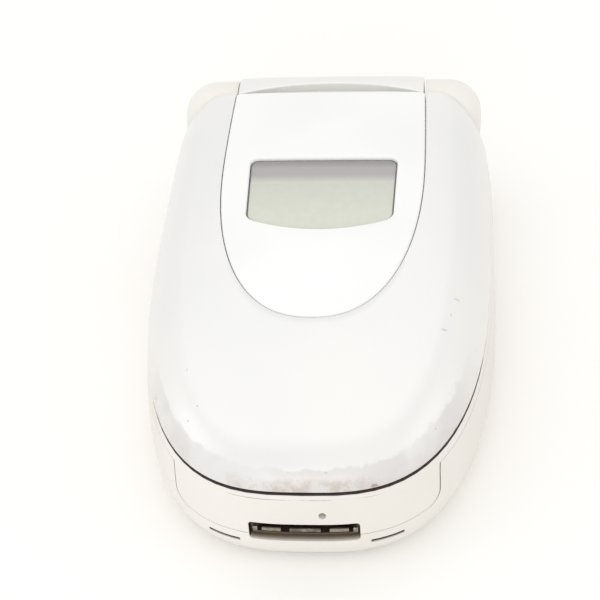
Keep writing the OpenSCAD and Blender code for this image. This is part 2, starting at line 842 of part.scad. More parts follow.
module front_housing() {
    color(base_colour)
        difference() {
            union() {
                difference() {
                    intersection() {
                        base_form();
                        front_region();
                    }
                    rim_prism(shell_inset, 0, deck_z);
                    rear_step_cut();
                }
                for (side = [-1, 1])
                    knuckle_form(side);
                at_spots(base_screw_spots, board_top)
                    cylinder(r = boss_radius, h = board_depth + 0.1);
            }
            hinge_rod(turning_radius, -knuckle_start, knuckle_start);
            socket_cut();
            for (column = [-1 : 1], row = [0 : number_rows - 1])
                key_hole(key_spot(column, row), [key_width, key_height]);
            for (side = [-1, 1], rise = [-1, 1])
                key_hole(side_key_spot(side, rise), side_key_size);
            key_hole([0, clear_key_y], clear_key_size);
            translate([0, ring_y, deck_z - cut])
                cylinder(r = ring_radius + key_clearance, h = deck_thickness + 2 * cut);
            // Sound hole of the microphone
            translate([mic_spot.x, front_end, mic_spot.y])
                rotate([90, 0, 0])
                    cylinder(r = mic_hole_radius, h = 2 * board_inset_y + 2 * cut, center = true);
            at_spots(base_screw_spots, board_top - cut)
                cylinder(r = screw_radius, h = screw_bite + 0.4 + cut);
            hinge_rod(bush_radius + 0.02, knuckle_start - cut, knuckle_start + seat_depth);
            hinge_rod(bush_radius + 0.02, -knuckle_start - seat_depth, -knuckle_start + cut);
        }
}

// Cover zone: a dovetail along Y, so that the cover can only slide off towards the socket end
module cover_zone(gap) {
    low = cover_half + gap;
    high = low + cover_slant;
    translate([0, cover_end_y + gap, 0])
        rotate([90, 0, 0])
            linear_extrude(cover_end_y + gap - front_end + cut)
                polygon([[-low, 0], [low, 0], [high, cover_thickness + gap], [-high, cover_thickness + gap]]);
}

module battery_cover() {
    color(base_colour)
        difference() {
            intersection() {
                base_form();
                cover_zone(0);
            }
            // Thumb grip
            for (k = [0 : 4])
                translate([0, cover_end_y - 3 - 1.6 * k, 0])
                    rotate([0, 90, 0])
                        cylinder(r = 0.45, h = 13 - 1.4 * k, center = true, $fn = 24);
        }
}

module rear_housing() {
    bay_half = bay_width / 2;
    color(base_colour)
        difference() {
            union() {
                difference() {
                    base_form();
                    rim_prism(shell_inset, back_thickness, base_height + cut);
                }
                difference() {
                    block([-bay_half - bay_wall, bay_start_y - bay_wall, cover_thickness + 0.2],
                        [bay_half + bay_wall, bay_end_y + bay_wall, bay_top]);
                    difference() {
                        block([-body_width, front_end - cut, 0], [body_width, body_length, base_height]);
                        rim_prism(shell_inset - 0.5, 0, base_height);
                    }
                }
                intersection() {
                    hinge_rod(trough_radius, -knuckle_start - 1, knuckle_start + 1);
                    rim_prism(shell_inset - 0.5, back_thickness, deck_z);
                }
                at_spots(base_screw_spots, cover_thickness + cover_gap)
                    cylinder(r = boss_radius, h = board_z - cover_thickness - cover_gap);
            }
            front_region(housing_seam);
            rear_step_cut();
            block([-bay_half, bay_start_y, -cut], [bay_half, bay_end_y, bay_z]);
            cover_zone(cover_gap);
            // Opening to the card holder in the bay's roof
            block([-sim_half - 0.4, bay_start_y + sim_margin - 0.4, bay_z - cut],
                [sim_half + 0.4, bay_start_y + sim_margin + sim_length + 0.4, bay_top + cut]);
            // Opening for the battery contacts
            block([-contact_pitch - 2 * contact_half, bay_end_y - cut, cover_thickness + 1],
                [contact_pitch + 2 * contact_half, bay_end_y + 3, bay_top + cut]);
            socket_cut();
            for (side = [-1, 1])
                translate([side * slot_x, front_end, slot_z])
                    rotate([0, 0, side * 14])
                        translate([0, 0, slot_height / 2])
                            cube([slot_length, 9, slot_height], center = true);
            hinge_rod(turning_radius, -knuckle_start, knuckle_start);
            for (side = [-1, 1])
                hinge_rod(knuckle_radius + 0.05, side * (knuckle_start - 0.01), side * body_width);
            // Sound slots of the ringer
            for (k = [-3 : 3])
                translate([ringer_spot.x, ringer_spot.y + sound_slot_pitch * k, -cut])
                    linear_extrude(back_thickness + 2 * cut)
                        rounded_rect([1.5 * ringer_radius - abs(k) * 0.9, sound_slot_width],
                            0.47 * sound_slot_width);
            at_spots(base_screw_spots, -cut)
                cylinder(r = screw_radius, h = base_height);
            at_spots(base_screw_spots, -cut)
                cylinder(r = counterbore_radius, h = back_thickness + cut);
            // Test port
            translate([test_port.x, test_port.y, -cut])
                cylinder(r = test_port_radius, h = back_thickness + 2 * cut);
            // Opening for the volume rocker
            translate([rocker_root, rocker_y, rocker_z])
                cube([2 * shell_inset, rocker_length + 2 * rocker_play, rocker_height + rocker_play],
                    center = true);
        }
}

// ---- Inside the base ----

module battery() {
    color("dimgray")
        translate([0, battery_y, cover_thickness + 0.1]) {
            linear_extrude(battery_thickness)
                rounded_rect([battery_width, battery_length], 1);
        }
}

module battery_contacts() {
    color("goldenrod")
        for (x = [-contact_pitch, 0, contact_pitch]) {
            block([x - contact_half, bay_end_y + 0.4, contact_low_z],
                [x + contact_half, bay_end_y + contact_depth, board_z]);
            block([x - contact_half / 2, bay_end_y - battery_play, contact_low_z + 0.6],
                [x + contact_half / 2, bay_end_y + 0.4, contact_low_z + contact_depth]);
        }
}

module main_board() {
    color("darkgreen")
        difference() {
            rim_prism(shell_inset + 0.3, board_z, board_top);
            block([-body_width, board_end_y, 0], [body_width, body_length, base_height]);
            block([-body_width, -body_length, 0], [body_width, board_start_y, base_height]);
            at_spots(base_screw_spots, board_z - cut)
                cylinder(r = screw_radius + 0.2, h = board_thickness + 2 * cut);
        }
}

module board_shields() {
    low_y = bay_end_y + shield_gap;
    color("silver") {
        block([-shield_half, battery_y + shield_margin, bay_top + 0.1],
            [shield_half, bay_end_y - shield_margin, board_z]);
        block([-shield_half, low_y, shield_z], [-contact_pitch, board_end_y - 5, board_z]);
        block([contact_pitch, low_y, shield_z + 0.4],
            [shield_half + 2 * shield_margin, board_end_y - shield_margin, board_z]);
    }
}

module dome_sheet() {
    color([0.85, 0.85, 0.8]) {
        difference() {
            rim_prism(shell_inset + 0.8, board_top, board_top + dome_sheet_thickness);
            block([-body_width, board_end_y - dome_sheet_margin, 0], [body_width, body_length, base_height]);
            block([-body_width, -body_length, 0],
                [body_width, board_start_y + dome_sheet_margin, base_height]);
            at_spots(base_screw_spots, board_top - cut)
                cylinder(r = boss_radius + 0.3, h = 2 * cut);
        }
        for (column = [-1 : 1], row = [0 : number_rows - 1])
            dome(key_spot(column, row));
        for (side = [-1, 1], rise = [-1, 1])
            dome(side_key_spot(side, rise));
        dome([0, clear_key_y]);
        dome([0, ring_y]);
    }
}

module dome(spot) {
    translate([spot.x, spot.y, board_top + dome_sheet_thickness])
        cylinder(r = dome_radius, h = dome_height - dome_sheet_thickness);
}

module system_connector() {
    half = socket_width / 2;
    high = socket_z + socket_height;
    tongue_half = half - 1.6;
    color(dark) {
        difference() {
            union() {
                block([-half - connector_wall, connector_y, socket_z - 0.4],
                    [half + connector_wall, connector_end_y, high + 0.5]);
                block([-half - connector_wall, board_start_y + 0.2, high],
                    [half + connector_wall, connector_end_y, board_z]);
            }
            block([-half, connector_y - cut, socket_z], [half, connector_end_y - connector_wall, high]);
        }
        block([-tongue_half, connector_y + 0.6, tongue_z],
            [tongue_half, connector_end_y - connector_wall / 2, tongue_z + socket_height / 4]);
    }
}

module connector_contacts() {
    length = connector_end_y - connector_wall - connector_y - 1.2;
    spring = [0.5, length, 0.6 * socket_height];
    color("goldenrod") {
        for (k = [-8.5 : 1 : 8.5])
            translate([k * contact_row_pitch, connector_y + 1 + length / 2, tongue_z - 0.1])
                cube([contact_row_pitch / 2, length, 0.2], center = true);
        for (side = [-1, 1])
            translate([side * (socket_width / 2 - 0.55), connector_y + 1 + length / 2,
                socket_z + socket_height / 2])
                cube(spring, center = true);
    }
}

module sim_holder() {
    low_y = bay_start_y + sim_margin;
    slot_half = sim_half - sim_wall;
    color("silver")
        difference() {
            block([-sim_half, low_y, bay_top - 0.5], [sim_half, low_y + sim_length, board_z]);
            block([-slot_half, low_y - cut, bay_top - cut],
                [slot_half, low_y + sim_length - sim_wall, bay_top + 0.3]);
        }
}

module microphone() {
    color("silver")
        translate([mic_spot.x, front_end + shell_inset + 0.2, mic_spot.y])
            rotate([-90, 0, 0])
                cylinder(r = mic_radius, h = mic_length);
}

module ringer() {
    color(dark)
        translate([ringer_spot.x, ringer_spot.y, back_thickness]) {
            cylinder(r = ringer_radius, h = ringer_height);
            translate([0, 0, ringer_height])
                cylinder(r = ringer_cap_radius, h = ringer_cap_height);
        }
}

module vibration_motor() {
    color("silver") {
        difference() {
            translate([motor_x, motor_y, motor_z])
                rotate([0, 90, 0])
                    cylinder(r = motor_radius, h = motor_length);
            translate([motor_x - cut, motor_y, motor_z])
                rotate([0, 90, 0])
                    cylinder(r = shaft_radius + running_play, h = motor_length / 2 + cut);
        }
        block([motor_x + 1, motor_y - motor_foot, back_thickness],
            [motor_x + motor_length - 1, motor_y + motor_foot, motor_z - motor_radius / 2]);
    }
}

module motor_weight() {
    color("gray")
        translate([motor_x, motor_y, motor_z])
            rotate([0, -90, 0]) {
                translate([0, 0, 0.5 - motor_length / 2])
                    cylinder(r = shaft_radius, h = motor_length / 2 + weight_length - 0.2);
                translate([0, 0, 0.3])
                    difference() {
                        cylinder(r = weight_radius, h = weight_length);
                        translate([shaft_radius, -weight_radius, -cut])
                            cube([weight_radius, 2 * weight_radius, weight_length + 2 * cut]);
                    }
            }
}

module antenna_carrier() {
    start_y = board_end_y + 0.6;
    end_y = hinge_y + 3.5;
    color("ivory")
        intersection() {
            difference() {
                block([-antenna_half, start_y, back_thickness], [antenna_half, end_y, board_z - 0.2]);
                hinge_rod(trough_radius + 0.1, -body_width, body_width);
                block([antenna_wall - antenna_half, start_y + 1, back_thickness - cut],
                    [antenna_half - antenna_wall, end_y - 1, back_thickness + 3.4]);
            }
            rim_prism(shell_inset + 0.2, back_thickness, base_height);
        }
}

module antenna_plate() {
    half = antenna_half - antenna_wall - 0.2;
    start_y = board_end_y + 2;
    end_y = hinge_y + 2.3;
    top = back_thickness + antenna_plate_thickness;
    color("goldenrod") {
        for (side = [-1, 1])
            translate([side * (half + 1) / 2, (start_y + end_y) / 2, (back_thickness + top) / 2])
                cube([half - 1, end_y - start_y, antenna_plate_thickness], center = true);
        block([-1, start_y, back_thickness], [1, start_y + 2, top]);
    }
}

module volume_rocker() {
    face = -body_width / 2 - rocker_proud + 0.25;
    flange_half = rocker_length / 2 + 0.8;
    color(base_colour) {
        translate([rocker_root + 0.3, rocker_y, rocker_z])
            rotate([0, -90, 0])
                linear_extrude(rocker_root + 0.3 - face)
                    rounded_rect([rocker_height, rocker_length], 1.3);
        block([rocker_root + 0.25, rocker_y - flange_half, rocker_z - rocker_height / 2],
            [rocker_root + 0.6, rocker_y + flange_half, rocker_z + rocker_height / 2]);
        // Pivot rib, on the axis of the rocker's turn
        translate([pivot_x, rocker_y, rocker_z - rocker_height / 2 - 0.3])
            cylinder(r = pivot_radius, h = rocker_height + 0.6);
    }
}

module volume_switches() {
    color("silver")
        for (side = [-1, 1])
            translate([0, rocker_y + side * switch_reach, 0])
                block([rocker_root + 0.8, -switch_half, rocker_z - 1.2],
                    [rocker_root + 0.8 + switch_depth, switch_half, board_z]);
}

module base_screws() {
    color("silver")
        at_spots(base_screw_spots, 0) {
            translate([0, 0, back_thickness - screw_head_height])
                cylinder(r = screw_head_radius, h = screw_head_height);
            translate([0, 0, back_thickness])
                cylinder(r = screw_radius - screw_play, h = board_top + screw_bite - back_thickness);
        }
}

module screw_plugs() {
    color("gainsboro")
        at_spots([for (i = [2, 3]) base_screw_spots[i]], 0.05)
            cylinder(r = counterbore_radius - 0.1, h = back_thickness - screw_head_height - 0.1);
}

module test_port_plug() {
    color("gainsboro")
        translate([test_port.x, test_port.y, 0.05])
            cylinder(r = test_port_radius - 0.05, h = back_thickness - 0.3);
}

// ---- Keys ----

module key(spot, size) {
    body_height = key_top - key_edge_height - key_flange_z;
    translate([spot.x, spot.y, key_flange_z]) {
        linear_extrude(key_flange_height)
            rounded_rect([size.x + 2 * key_flange, size.y + 2 * key_flange], key_corner);
        linear_extrude(body_height)
            rounded_rect(size, key_corner);
        translate([0, 0, body_height])
            linear_extrude(key_edge_height)
                rounded_rect([size.x - 2 * key_edge, size.y - 2 * key_edge], key_corner - key_edge);
    }
}

module number_key(column, row) {
    color("whitesmoke")
        key(key_spot(column, row), [key_width, key_height]);
}

module soft_key(side) {
    color("gainsboro")
        key(side_key_spot(side, 1), side_key_size);
}

module send_key() {
    color("mediumseagreen")
        key(side_key_spot(-1, -1), side_key_size);
}

module end_key() {
    color("indianred")
        key(side_key_spot(1, -1), side_key_size);
}

module clear_key() {
    color("gainsboro")
        key([0, clear_key_y], clear_key_size);
}

module navigation_ring() {
    color("silver")
        translate([0, ring_y, 0])
            difference() {
                union() {
                    translate([0, 0, key_flange_z])
                        cylinder(r = ring_radius + key_flange, h = key_flange_height);
                    translate([0, 0, key_flange_z])
                        cylinder(r = ring_radius, h = key_top - key_edge_height - key_flange_z);
                    translate([0, 0, key_top - key_edge_height])
                        cylinder(r1 = ring_radius, r2 = ring_radius - ring_slope, h = key_edge_height);
                }
                translate([0, 0, board_top])
                    cylinder(r = centre_radius + key_clearance, h = key_top);
            }
}

module centre_key() {
    color("whitesmoke")
        translate([0, ring_y, key_flange_z])
            cylinder(r = centre_radius, h = key_top - key_flange_z);
}

lid_outer_housing();
lid_insert();
outer_window();
outer_display();
lid_inner_housing();
inner_window();
inner_display();
lid_board();
earpiece();
lid_magnet();
lid_screws();
lid_screw_plugs();
lid_bumpers();
lid_flex();
hinge_cartridge();
hinge_shaft();
hinge_bush();
front_housing();
rear_housing();
battery_cover();
battery();
battery_contacts();
main_board();
board_shields();
dome_sheet();
system_connector();
connector_contacts();
sim_holder();
microphone();
ringer();
vibration_motor();
motor_weight();
antenna_carrier();
antenna_plate();
volume_rocker();
volume_switches();
base_screws();
screw_plugs();
test_port_plug();
number_key(-1, 0);  // key_star
number_key(0, 0);  // key_0
number_key(1, 0);  // key_hash
number_key(-1, 1);  // key_7
number_key(0, 1);  // key_8
number_key(1, 1);  // key_9
number_key(-1, 2);  // key_4
number_key(0, 2);  // key_5
number_key(1, 2);  // key_6
number_key(-1, 3);  // key_1
number_key(0, 3);  // key_2
number_key(1, 3);  // key_3
soft_key(-1);  // soft_key_left
soft_key(1);  // soft_key_right
send_key();
end_key();
clear_key();
navigation_ring();
centre_key();
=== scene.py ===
# Flip phone, closed, lying on its back. Shapes are worked out in millimetres and stored in metres.
import bmesh
import bpy
import numpy as np
from math import cos, pi, radians, sin
from mathutils import Matrix, Vector


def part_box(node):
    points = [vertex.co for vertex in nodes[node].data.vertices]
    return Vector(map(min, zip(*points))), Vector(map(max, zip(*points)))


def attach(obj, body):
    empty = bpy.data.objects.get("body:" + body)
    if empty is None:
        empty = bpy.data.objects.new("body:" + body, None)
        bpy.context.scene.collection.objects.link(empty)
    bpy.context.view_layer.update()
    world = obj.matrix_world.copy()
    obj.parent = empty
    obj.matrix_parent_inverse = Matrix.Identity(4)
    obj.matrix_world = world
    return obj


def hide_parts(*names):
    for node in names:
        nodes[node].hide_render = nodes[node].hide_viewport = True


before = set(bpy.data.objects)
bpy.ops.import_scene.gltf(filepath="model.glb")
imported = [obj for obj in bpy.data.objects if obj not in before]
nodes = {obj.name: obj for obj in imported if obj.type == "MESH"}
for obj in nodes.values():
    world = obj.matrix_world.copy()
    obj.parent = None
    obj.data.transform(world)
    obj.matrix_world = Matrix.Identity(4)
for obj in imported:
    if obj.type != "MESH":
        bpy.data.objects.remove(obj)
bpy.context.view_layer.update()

scene = bpy.context.scene
millimetre = 0.001

# camera, light and floor
cameraView = {
    "yaw": 7.4, "elevation": 42, "roll": -4.9,  # degrees
    "target": (-2.8, -3.6, 12), "distance": 223,  # mm
    "lens": 96, "sensor": 36,
}


def placeCamera(view):
    # the camera looks along minus the direction given by yaw and elevation, then rolls about it
    yaw, elevation, roll = (radians(view[k]) for k in ("yaw", "elevation", "roll"))
    back = Vector((sin(yaw) * cos(elevation), -cos(yaw) * cos(elevation), sin(elevation)))
    right = (-back).cross(Vector((0, 0, 1))).normalized()
    up = right.cross(-back)
    rolledRight = right * cos(roll) + up * sin(roll)
    rolledUp = -right * sin(roll) + up * cos(roll)
    data = bpy.data.cameras.new("camera")
    data.lens = view["lens"]
    data.sensor_width = view["sensor"]
    data.clip_start = 0.01
    camera = bpy.data.objects.new("camera", data)
    place = Matrix((rolledRight, rolledUp, back)).transposed().to_4x4()
    place.translation = (Vector(view["target"]) + back * view["distance"]) * millimetre
    camera.matrix_world = place
    scene.collection.objects.link(camera)
    scene.camera = camera


placeCamera(cameraView)
scene.view_settings.view_transform = "Standard"


def linear(hexColour):
    # sRGB hex to linear light
    values = [int(hexColour[i:i + 2], 16) / 255 for i in (1, 3, 5)]
    light = [v / 12.92 if v <= 0.04045 else ((v + 0.055) / 1.055) ** 2.4 for v in values]
    return (*light, 1)


def fillInputs(tree, node, inputs):
    # inputs as values, as sockets to link, or as nodes, which stand for their first output in use
    for key, value in inputs.items():
        if isinstance(value, bpy.types.Node):
            value = next(socket for socket in value.outputs if socket.enabled)
        if isinstance(value, bpy.types.NodeSocket):
            tree.links.new(value, node.inputs[key])
        else:
            node.inputs[key].default_value = value


def addNode(tree, kind, settings=None, inputs=None):
    # one shader node with its settings and inputs
    node = tree.nodes.new("ShaderNode" + kind)
    for key, value in (settings or {}).items():
        setattr(node, key, value)
    fillInputs(tree, node, inputs or {})
    return node


def rampStops(node, stops):
    # stops of a colour ramp as (position, hex colour)
    elements = node.color_ramp.elements
    stops = list(stops)
    while len(elements) < len(stops):
        elements.new(0.5)
    for element, (position, value) in zip(elements, stops):
        element.position = position
        element.color = linear(value)
    return node


def startMaterial(name):
    material = bpy.data.materials.new(name)
    material.use_nodes = True
    tree = material.node_tree
    surface = tree.nodes["Principled BSDF"]
    return material, tree, surface


lighting = {
    "worldStrength": 0.88,
    "lamps": [
        # name, place in mm, size in mm, watts
        ("overhead softbox", (-60, 120, 420), (420, 320), 0.17),
        ("left softbox", (-380, -60, 220), (260, 260), 0.12),
        ("right softbox", (380, -40, 240), (240, 240), 0.08),
        ("front softbox", (0, -420, 160), (260, 160), 0.26),
    ],
}


def buildLight(values):
    # plain white all round; what the camera, mirrors and clear pieces see of it is pure white
    world = bpy.data.worlds.new("studio")
    scene.world = world
    world.use_nodes = True
    tree = world.node_tree
    white = (1, 1, 1, 1)
    plain = tree.nodes["Background"]
    fillInputs(tree, plain, {"Color": white, "Strength": values["worldStrength"]})
    seen = addNode(tree, "Background", inputs={"Color": white, "Strength": 1})
    path = addNode(tree, "LightPath").outputs
    direct = addNode(tree, "Math", {"operation": "MAXIMUM"},
                     {0: path["Is Camera Ray"], 1: path["Is Glossy Ray"]})
    clear = addNode(tree, "Math", {"operation": "MAXIMUM"}, {0: direct, 1: path["Is Transmission Ray"]})
    mix = addNode(tree, "MixShader", inputs={0: clear, 1: plain, 2: seen})
    fillInputs(tree, tree.nodes["World Output"], {"Surface": mix})
    for name, place, size, watts in values["lamps"]:
        data = bpy.data.lights.new(name, "AREA")
        data.shape = "RECTANGLE"
        data.size, data.size_y = (s * millimetre for s in size)
        data.energy = watts
        lamp = bpy.data.objects.new(name, data)
        lamp.location = Vector(place) * millimetre
        lamp.rotation_euler = (-lamp.location).to_track_quat("-Z", "Y").to_euler()
        scene.collection.objects.link(lamp)


floorLook = {
    "halfSize": 900, "drop": 0.02,  # mm
    "colour": "#efedea", "cloud": "#edebe7", "cloudScale": 9, "glow": 0.16,
}


def buildFloor(values):
    # plain pale floor: the glow that only the camera sees lifts it to white, the shadow stays
    half = values["halfSize"] * millimetre
    low = -values["drop"] * millimetre
    mesh = bpy.data.meshes.new("floor")
    mesh.from_pydata([(x, y, low) for x, y in ((-half, -half), (half, -half), (half, half), (-half, half))],
                     [], [(0, 1, 2, 3)])
    floor = bpy.data.objects.new("floor", mesh)
    scene.collection.objects.link(floor)
    material, tree, surface = startMaterial("paperSweep")
    place = addNode(tree, "TexCoord").outputs["Object"]
    cloud = addNode(tree, "TexNoise", inputs={"Vector": place, "Scale": values["cloudScale"]})
    tint = addNode(tree, "Mix", {"data_type": "RGBA"},
                   {0: cloud, 6: linear(values["colour"]), 7: linear(values["cloud"])})
    fillInputs(tree, surface, {"Base Color": tint, "Roughness": 0.9, "Specular IOR Level": 0.1})
    glow = addNode(tree, "Emission", inputs={"Color": (1, 1, 1, 1), "Strength": values["glow"]})
    both = addNode(tree, "AddShader", inputs={0: surface, 1: glow})
    path = addNode(tree, "LightPath").outputs
    seen = addNode(tree, "Math", {"operation": "MAXIMUM"},
                   {0: path["Is Camera Ray"], 1: path["Is Glossy Ray"]})
    mix = addNode(tree, "MixShader", inputs={0: seen, 1: surface, 2: both})
    fillInputs(tree, tree.nodes["Material Output"], {"Surface": mix})
    mesh.materials.append(material)


buildLight(lighting)
buildFloor(floorLook)
print("camera, light and floor are set")

# forms shared by the pieces, in mm
outline = {
    "halfWidth": 24.5, "widestY": 6, "frontReach": 46.5, "rearReach": 34.5,
    "frontPowers": (3, 2.6), "rearPowers": (6, 7),
}
hinge = {"y": 33.1, "z": 16.4}
baseForm = {"height": 12.3, "rimInset": 0.9, "bellyHeight": 4.5, "bellyInset": 3.4, "rimRound": 0.55}
lidForm = {
    "rim": 12.6, "peak": 22.9, "frontHeight": 3.9, "frontY": -40.5, "sideFall": 2.2, "sidePower": 4,
    "roll": 5.5, "rimInset": 0.9, "wall": 1.4, "skin": 1.9, "lip": 0.3, "innerPlane": 14.2,
    "frontLift": 0.08, "liftY": (-2, -32),
}


def rimPoint(t, inset):
    # stretched superellipse: x and y are signed powers of cosine and sine, with their own powers
    # before and behind the widest place
    front = np.sin(t) < 0
    powerX = np.where(front, outline["frontPowers"][0], outline["rearPowers"][0])
    powerY = np.where(front, outline["frontPowers"][1], outline["rearPowers"][1])
    reach = np.where(front, outline["frontReach"], outline["rearReach"])
    c, s = np.cos(t), np.sin(t)
    x = (outline["halfWidth"] - inset) * np.sign(c) * np.abs(c) ** (2 / powerX)
    y = outline["widestY"] + (reach - inset) * np.sign(s) * np.abs(s) ** (2 / powerY)
    return x, y


def lidHeight(x, y):
    # long parabola that falls from the hinge to the front, and a fourth power towards the sides
    drop = lidForm["peak"] - lidForm["rim"] - lidForm["frontHeight"]
    fall = drop / (hinge["y"] - lidForm["frontY"]) ** 2
    side = np.abs(x / outline["halfWidth"]) ** lidForm["sidePower"]
    return lidForm["peak"] - fall * (hinge["y"] - y) ** 2 - lidForm["sideFall"] * side


def rimHeight(y):
    # the lid's rim, lifted a little at the front so that the gap to the base opens there
    start, end = lidForm["liftY"]
    share = np.clip((start - y) / (start - end), 0, 1)
    return lidForm["rim"] + lidForm["frontLift"] * share ** 2 * (3 - 2 * share)


def alongPath(points, count):
    # the same path with points at equal distances
    steps = np.hypot(*np.diff(points, axis=0).T[:2])
    length = np.concatenate([[0], np.cumsum(steps)])
    at = np.linspace(0, length[-1], count)
    return np.stack([np.interp(at, length, points[:, k]) for k in range(points.shape[1])], axis=1)


def gridFaces(rows, columns, closeRows=False, closeColumns=False):
    # quads of a grid whose points run column by column within each row
    r = np.arange(rows if closeRows else rows - 1)
    c = np.arange(columns if closeColumns else columns - 1)
    r, c = np.meshgrid(r, c, indexing="ij")
    nextRow, nextColumn = (r + 1) % rows, (c + 1) % columns
    quads = np.stack([r * columns + c, r * columns + nextColumn, nextRow * columns + nextColumn,
                      nextRow * columns + c], axis=-1)
    return quads.reshape(-1, 4)


def endCaps(rows, columns):
    # one flat face over each end of a grid that closes round
    ring = np.arange(columns)
    return [ring[None, :], (ring + (rows - 1) * columns)[None, ::-1]]


def quarterRound(width, height, degrees):
    # steps inward and down along a quarter of an ellipse, from the side (0) to the top (90)
    return [(width * (1 - cos(f)), height * (1 - sin(f))) for f in map(radians, degrees)]


def buildPiece(name, islands, material, body, replaced=(), sharpAngle=35):
    # islands is a list of (points in mm, list of face arrays, uv in mm or None), each closed
    mesh = bpy.data.meshes.new(name)
    allPoints, allFaces, allUv, start = [], [], [], 0
    for points, faceSets, uv in islands:
        allPoints.append(points)
        allUv.append(points[:, :2] if uv is None else uv)
        for faces in faceSets:
            allFaces += (np.asarray(faces) + start).tolist()
        start += len(points)
    allPoints = np.concatenate(allPoints) * millimetre
    mesh.from_pydata(allPoints, [], allFaces)
    layer = mesh.uv_layers.new(name="surface")
    corner = np.empty(len(mesh.loops), dtype=np.int32)
    mesh.loops.foreach_get("vertex_index", corner)
    layer.data.foreach_set("uv", np.concatenate(allUv)[corner].astype(np.float32).ravel())
    work = bmesh.new()
    work.from_mesh(mesh)
    bmesh.ops.dissolve_degenerate(work, edges=work.edges, dist=1e-6)
    bmesh.ops.recalc_face_normals(work, faces=work.faces)
    work.to_mesh(mesh)
    work.free()
    return finishPiece(name, mesh, material, body, replaced, sharpAngle)


def finishPiece(name, mesh, material, body, replaced=(), sharpAngle=35):
    mesh.shade_smooth()
    if sharpAngle:
        mesh.set_sharp_from_angle(angle=radians(sharpAngle))
    mesh.materials.clear()
    mesh.materials.append(material)
    piece = bpy.data.objects.new(name, mesh)
    scene.collection.objects.link(piece)
    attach(piece, body)
    if replaced:
        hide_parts(*replaced)
    return piece


def zipFaces(first, second, points):
    # triangles between two rows of points, stepping along whichever row lags behind
    def share(row):
        steps = np.linalg.norm(np.diff(points[row], axis=0), axis=1)
        total = np.concatenate([[0], np.cumsum(steps)])
        return total / total[-1]
    a, b = share(first), share(second)
    i = j = 0
    faces = []
    while i < len(first) - 1 or j < len(second) - 1:
        if j == len(second) - 1 or (i < len(first) - 1 and a[i + 1] <= b[j + 1]):
            faces.append((first[i], first[i + 1], second[j]))
            i += 1
        else:
            faces.append((first[i], second[j + 1], second[j]))
            j += 1
    return np.array(faces)


# outlines of the insert and the window
insertForm = {
    "half": 14.4, "endY": 31.0, "widestY": 16, "reach": 31.7, "power": 2.4, "taper": 0.2,
    "corner": 0.5, "thickness": 1, "proud": 0.15, "seam": 0.12, "edge": 0.3, "centre": (0, 8.45),
    "floorLap": 0.3,
}
windowForm = {
    "halfWidth": 10.55, "topY": 15.1, "lowY": 1.8, "draw": 0.3, "bulge": 1.7, "corner": 1.2,
    "lowCorner": 2, "depth": 0.5, "play": 0.05, "ledge": 0.6, "edge": 0.05,
}


def arcPoints(x, y, radius, start, stop, count):
    a = np.radians(np.linspace(start, stop, count))
    return np.stack([x + radius * np.cos(a), y + radius * np.sin(a)], axis=1)


def bowlSide(grow, count=400):
    # right half of the insert's outline: superellipse bowl from the tip, then the near straight side
    half = insertForm["half"] + grow
    reach = insertForm["reach"] + grow
    q = np.linspace(0, 1, count)
    t = -pi / 2 + pi / 2 * q ** 2 / (q ** 2 + (1 - q) ** 2)
    e = 2 / insertForm["power"]
    x = half * np.abs(np.cos(t)) ** e
    y = insertForm["widestY"] - reach * np.abs(np.sin(t)) ** e
    k = np.linspace(0, 1, 60)[1:]
    sideX = half - insertForm["taper"] * k ** 2
    sideY = insertForm["widestY"] + (insertForm["endY"] + grow - insertForm["widestY"]) * k
    return np.concatenate([np.stack([x, y], axis=1), np.stack([sideX, sideY], axis=1)])


def insertOutline(grow, count=260):
    # closed outline, anticlockwise from the tip, with small round corners at the straight edge
    r = insertForm["corner"] + grow
    side = bowlSide(grow)
    end = side[-1]
    side = side[side[:, 1] < end[1] - r]
    corner = arcPoints(end[0] - r, end[1] - r, r, 0, 90, 12)
    right = np.concatenate([alongPath(side, count // 2), corner])
    edge = np.stack([np.linspace(end[0] - r, -end[0] + r, 60)[1:-1], np.full(58, end[1])], axis=1)
    left = right[::-1] * (-1, 1)
    return np.concatenate([right, edge, left[:-1]])


def windowOutline(grow):
    # straight upper edge, sides a little narrower below, lower edge a parabola
    r, lowR = windowForm["corner"] + grow, windowForm["lowCorner"] + grow
    top = windowForm["halfWidth"] + grow
    low = top - windowForm["draw"]
    highY, lowY = windowForm["topY"] + grow, windowForm["lowY"] - grow
    k = np.linspace(-1, 1, 41)
    # the parabola's end slope turns straight into the corner's arc
    turn = np.degrees(np.arctan(2 * windowForm["bulge"] / (low - lowR)))
    sag = lowR * (1 - cos(radians(turn)))
    endX = low - lowR * (1 - sin(radians(turn)))
    bulge = np.stack([k * endX, lowY + sag - windowForm["bulge"] * (1 - k ** 2)], axis=1)
    cornerLow = arcPoints(low - lowR, lowY + lowR, lowR, -90 + turn, 0, 14)
    sideCount = np.linspace(0, 1, 24)[1:-1, None]
    rightLow, rightHigh = np.array([low, lowY + lowR]), np.array([top, highY - r])
    side = rightLow + (rightHigh - rightLow) * sideCount
    cornerHigh = arcPoints(top - r, highY - r, r, 0, 90, 12)
    edge = np.stack([np.linspace(top - r, -top + r, 42)[1:-1], np.full(40, highY)], axis=1)
    mirrored = np.concatenate([cornerLow, side, cornerHigh])[::-1] * (-1, 1)
    return np.concatenate([bulge[1:-1], cornerLow, side, cornerHigh, edge, mirrored])


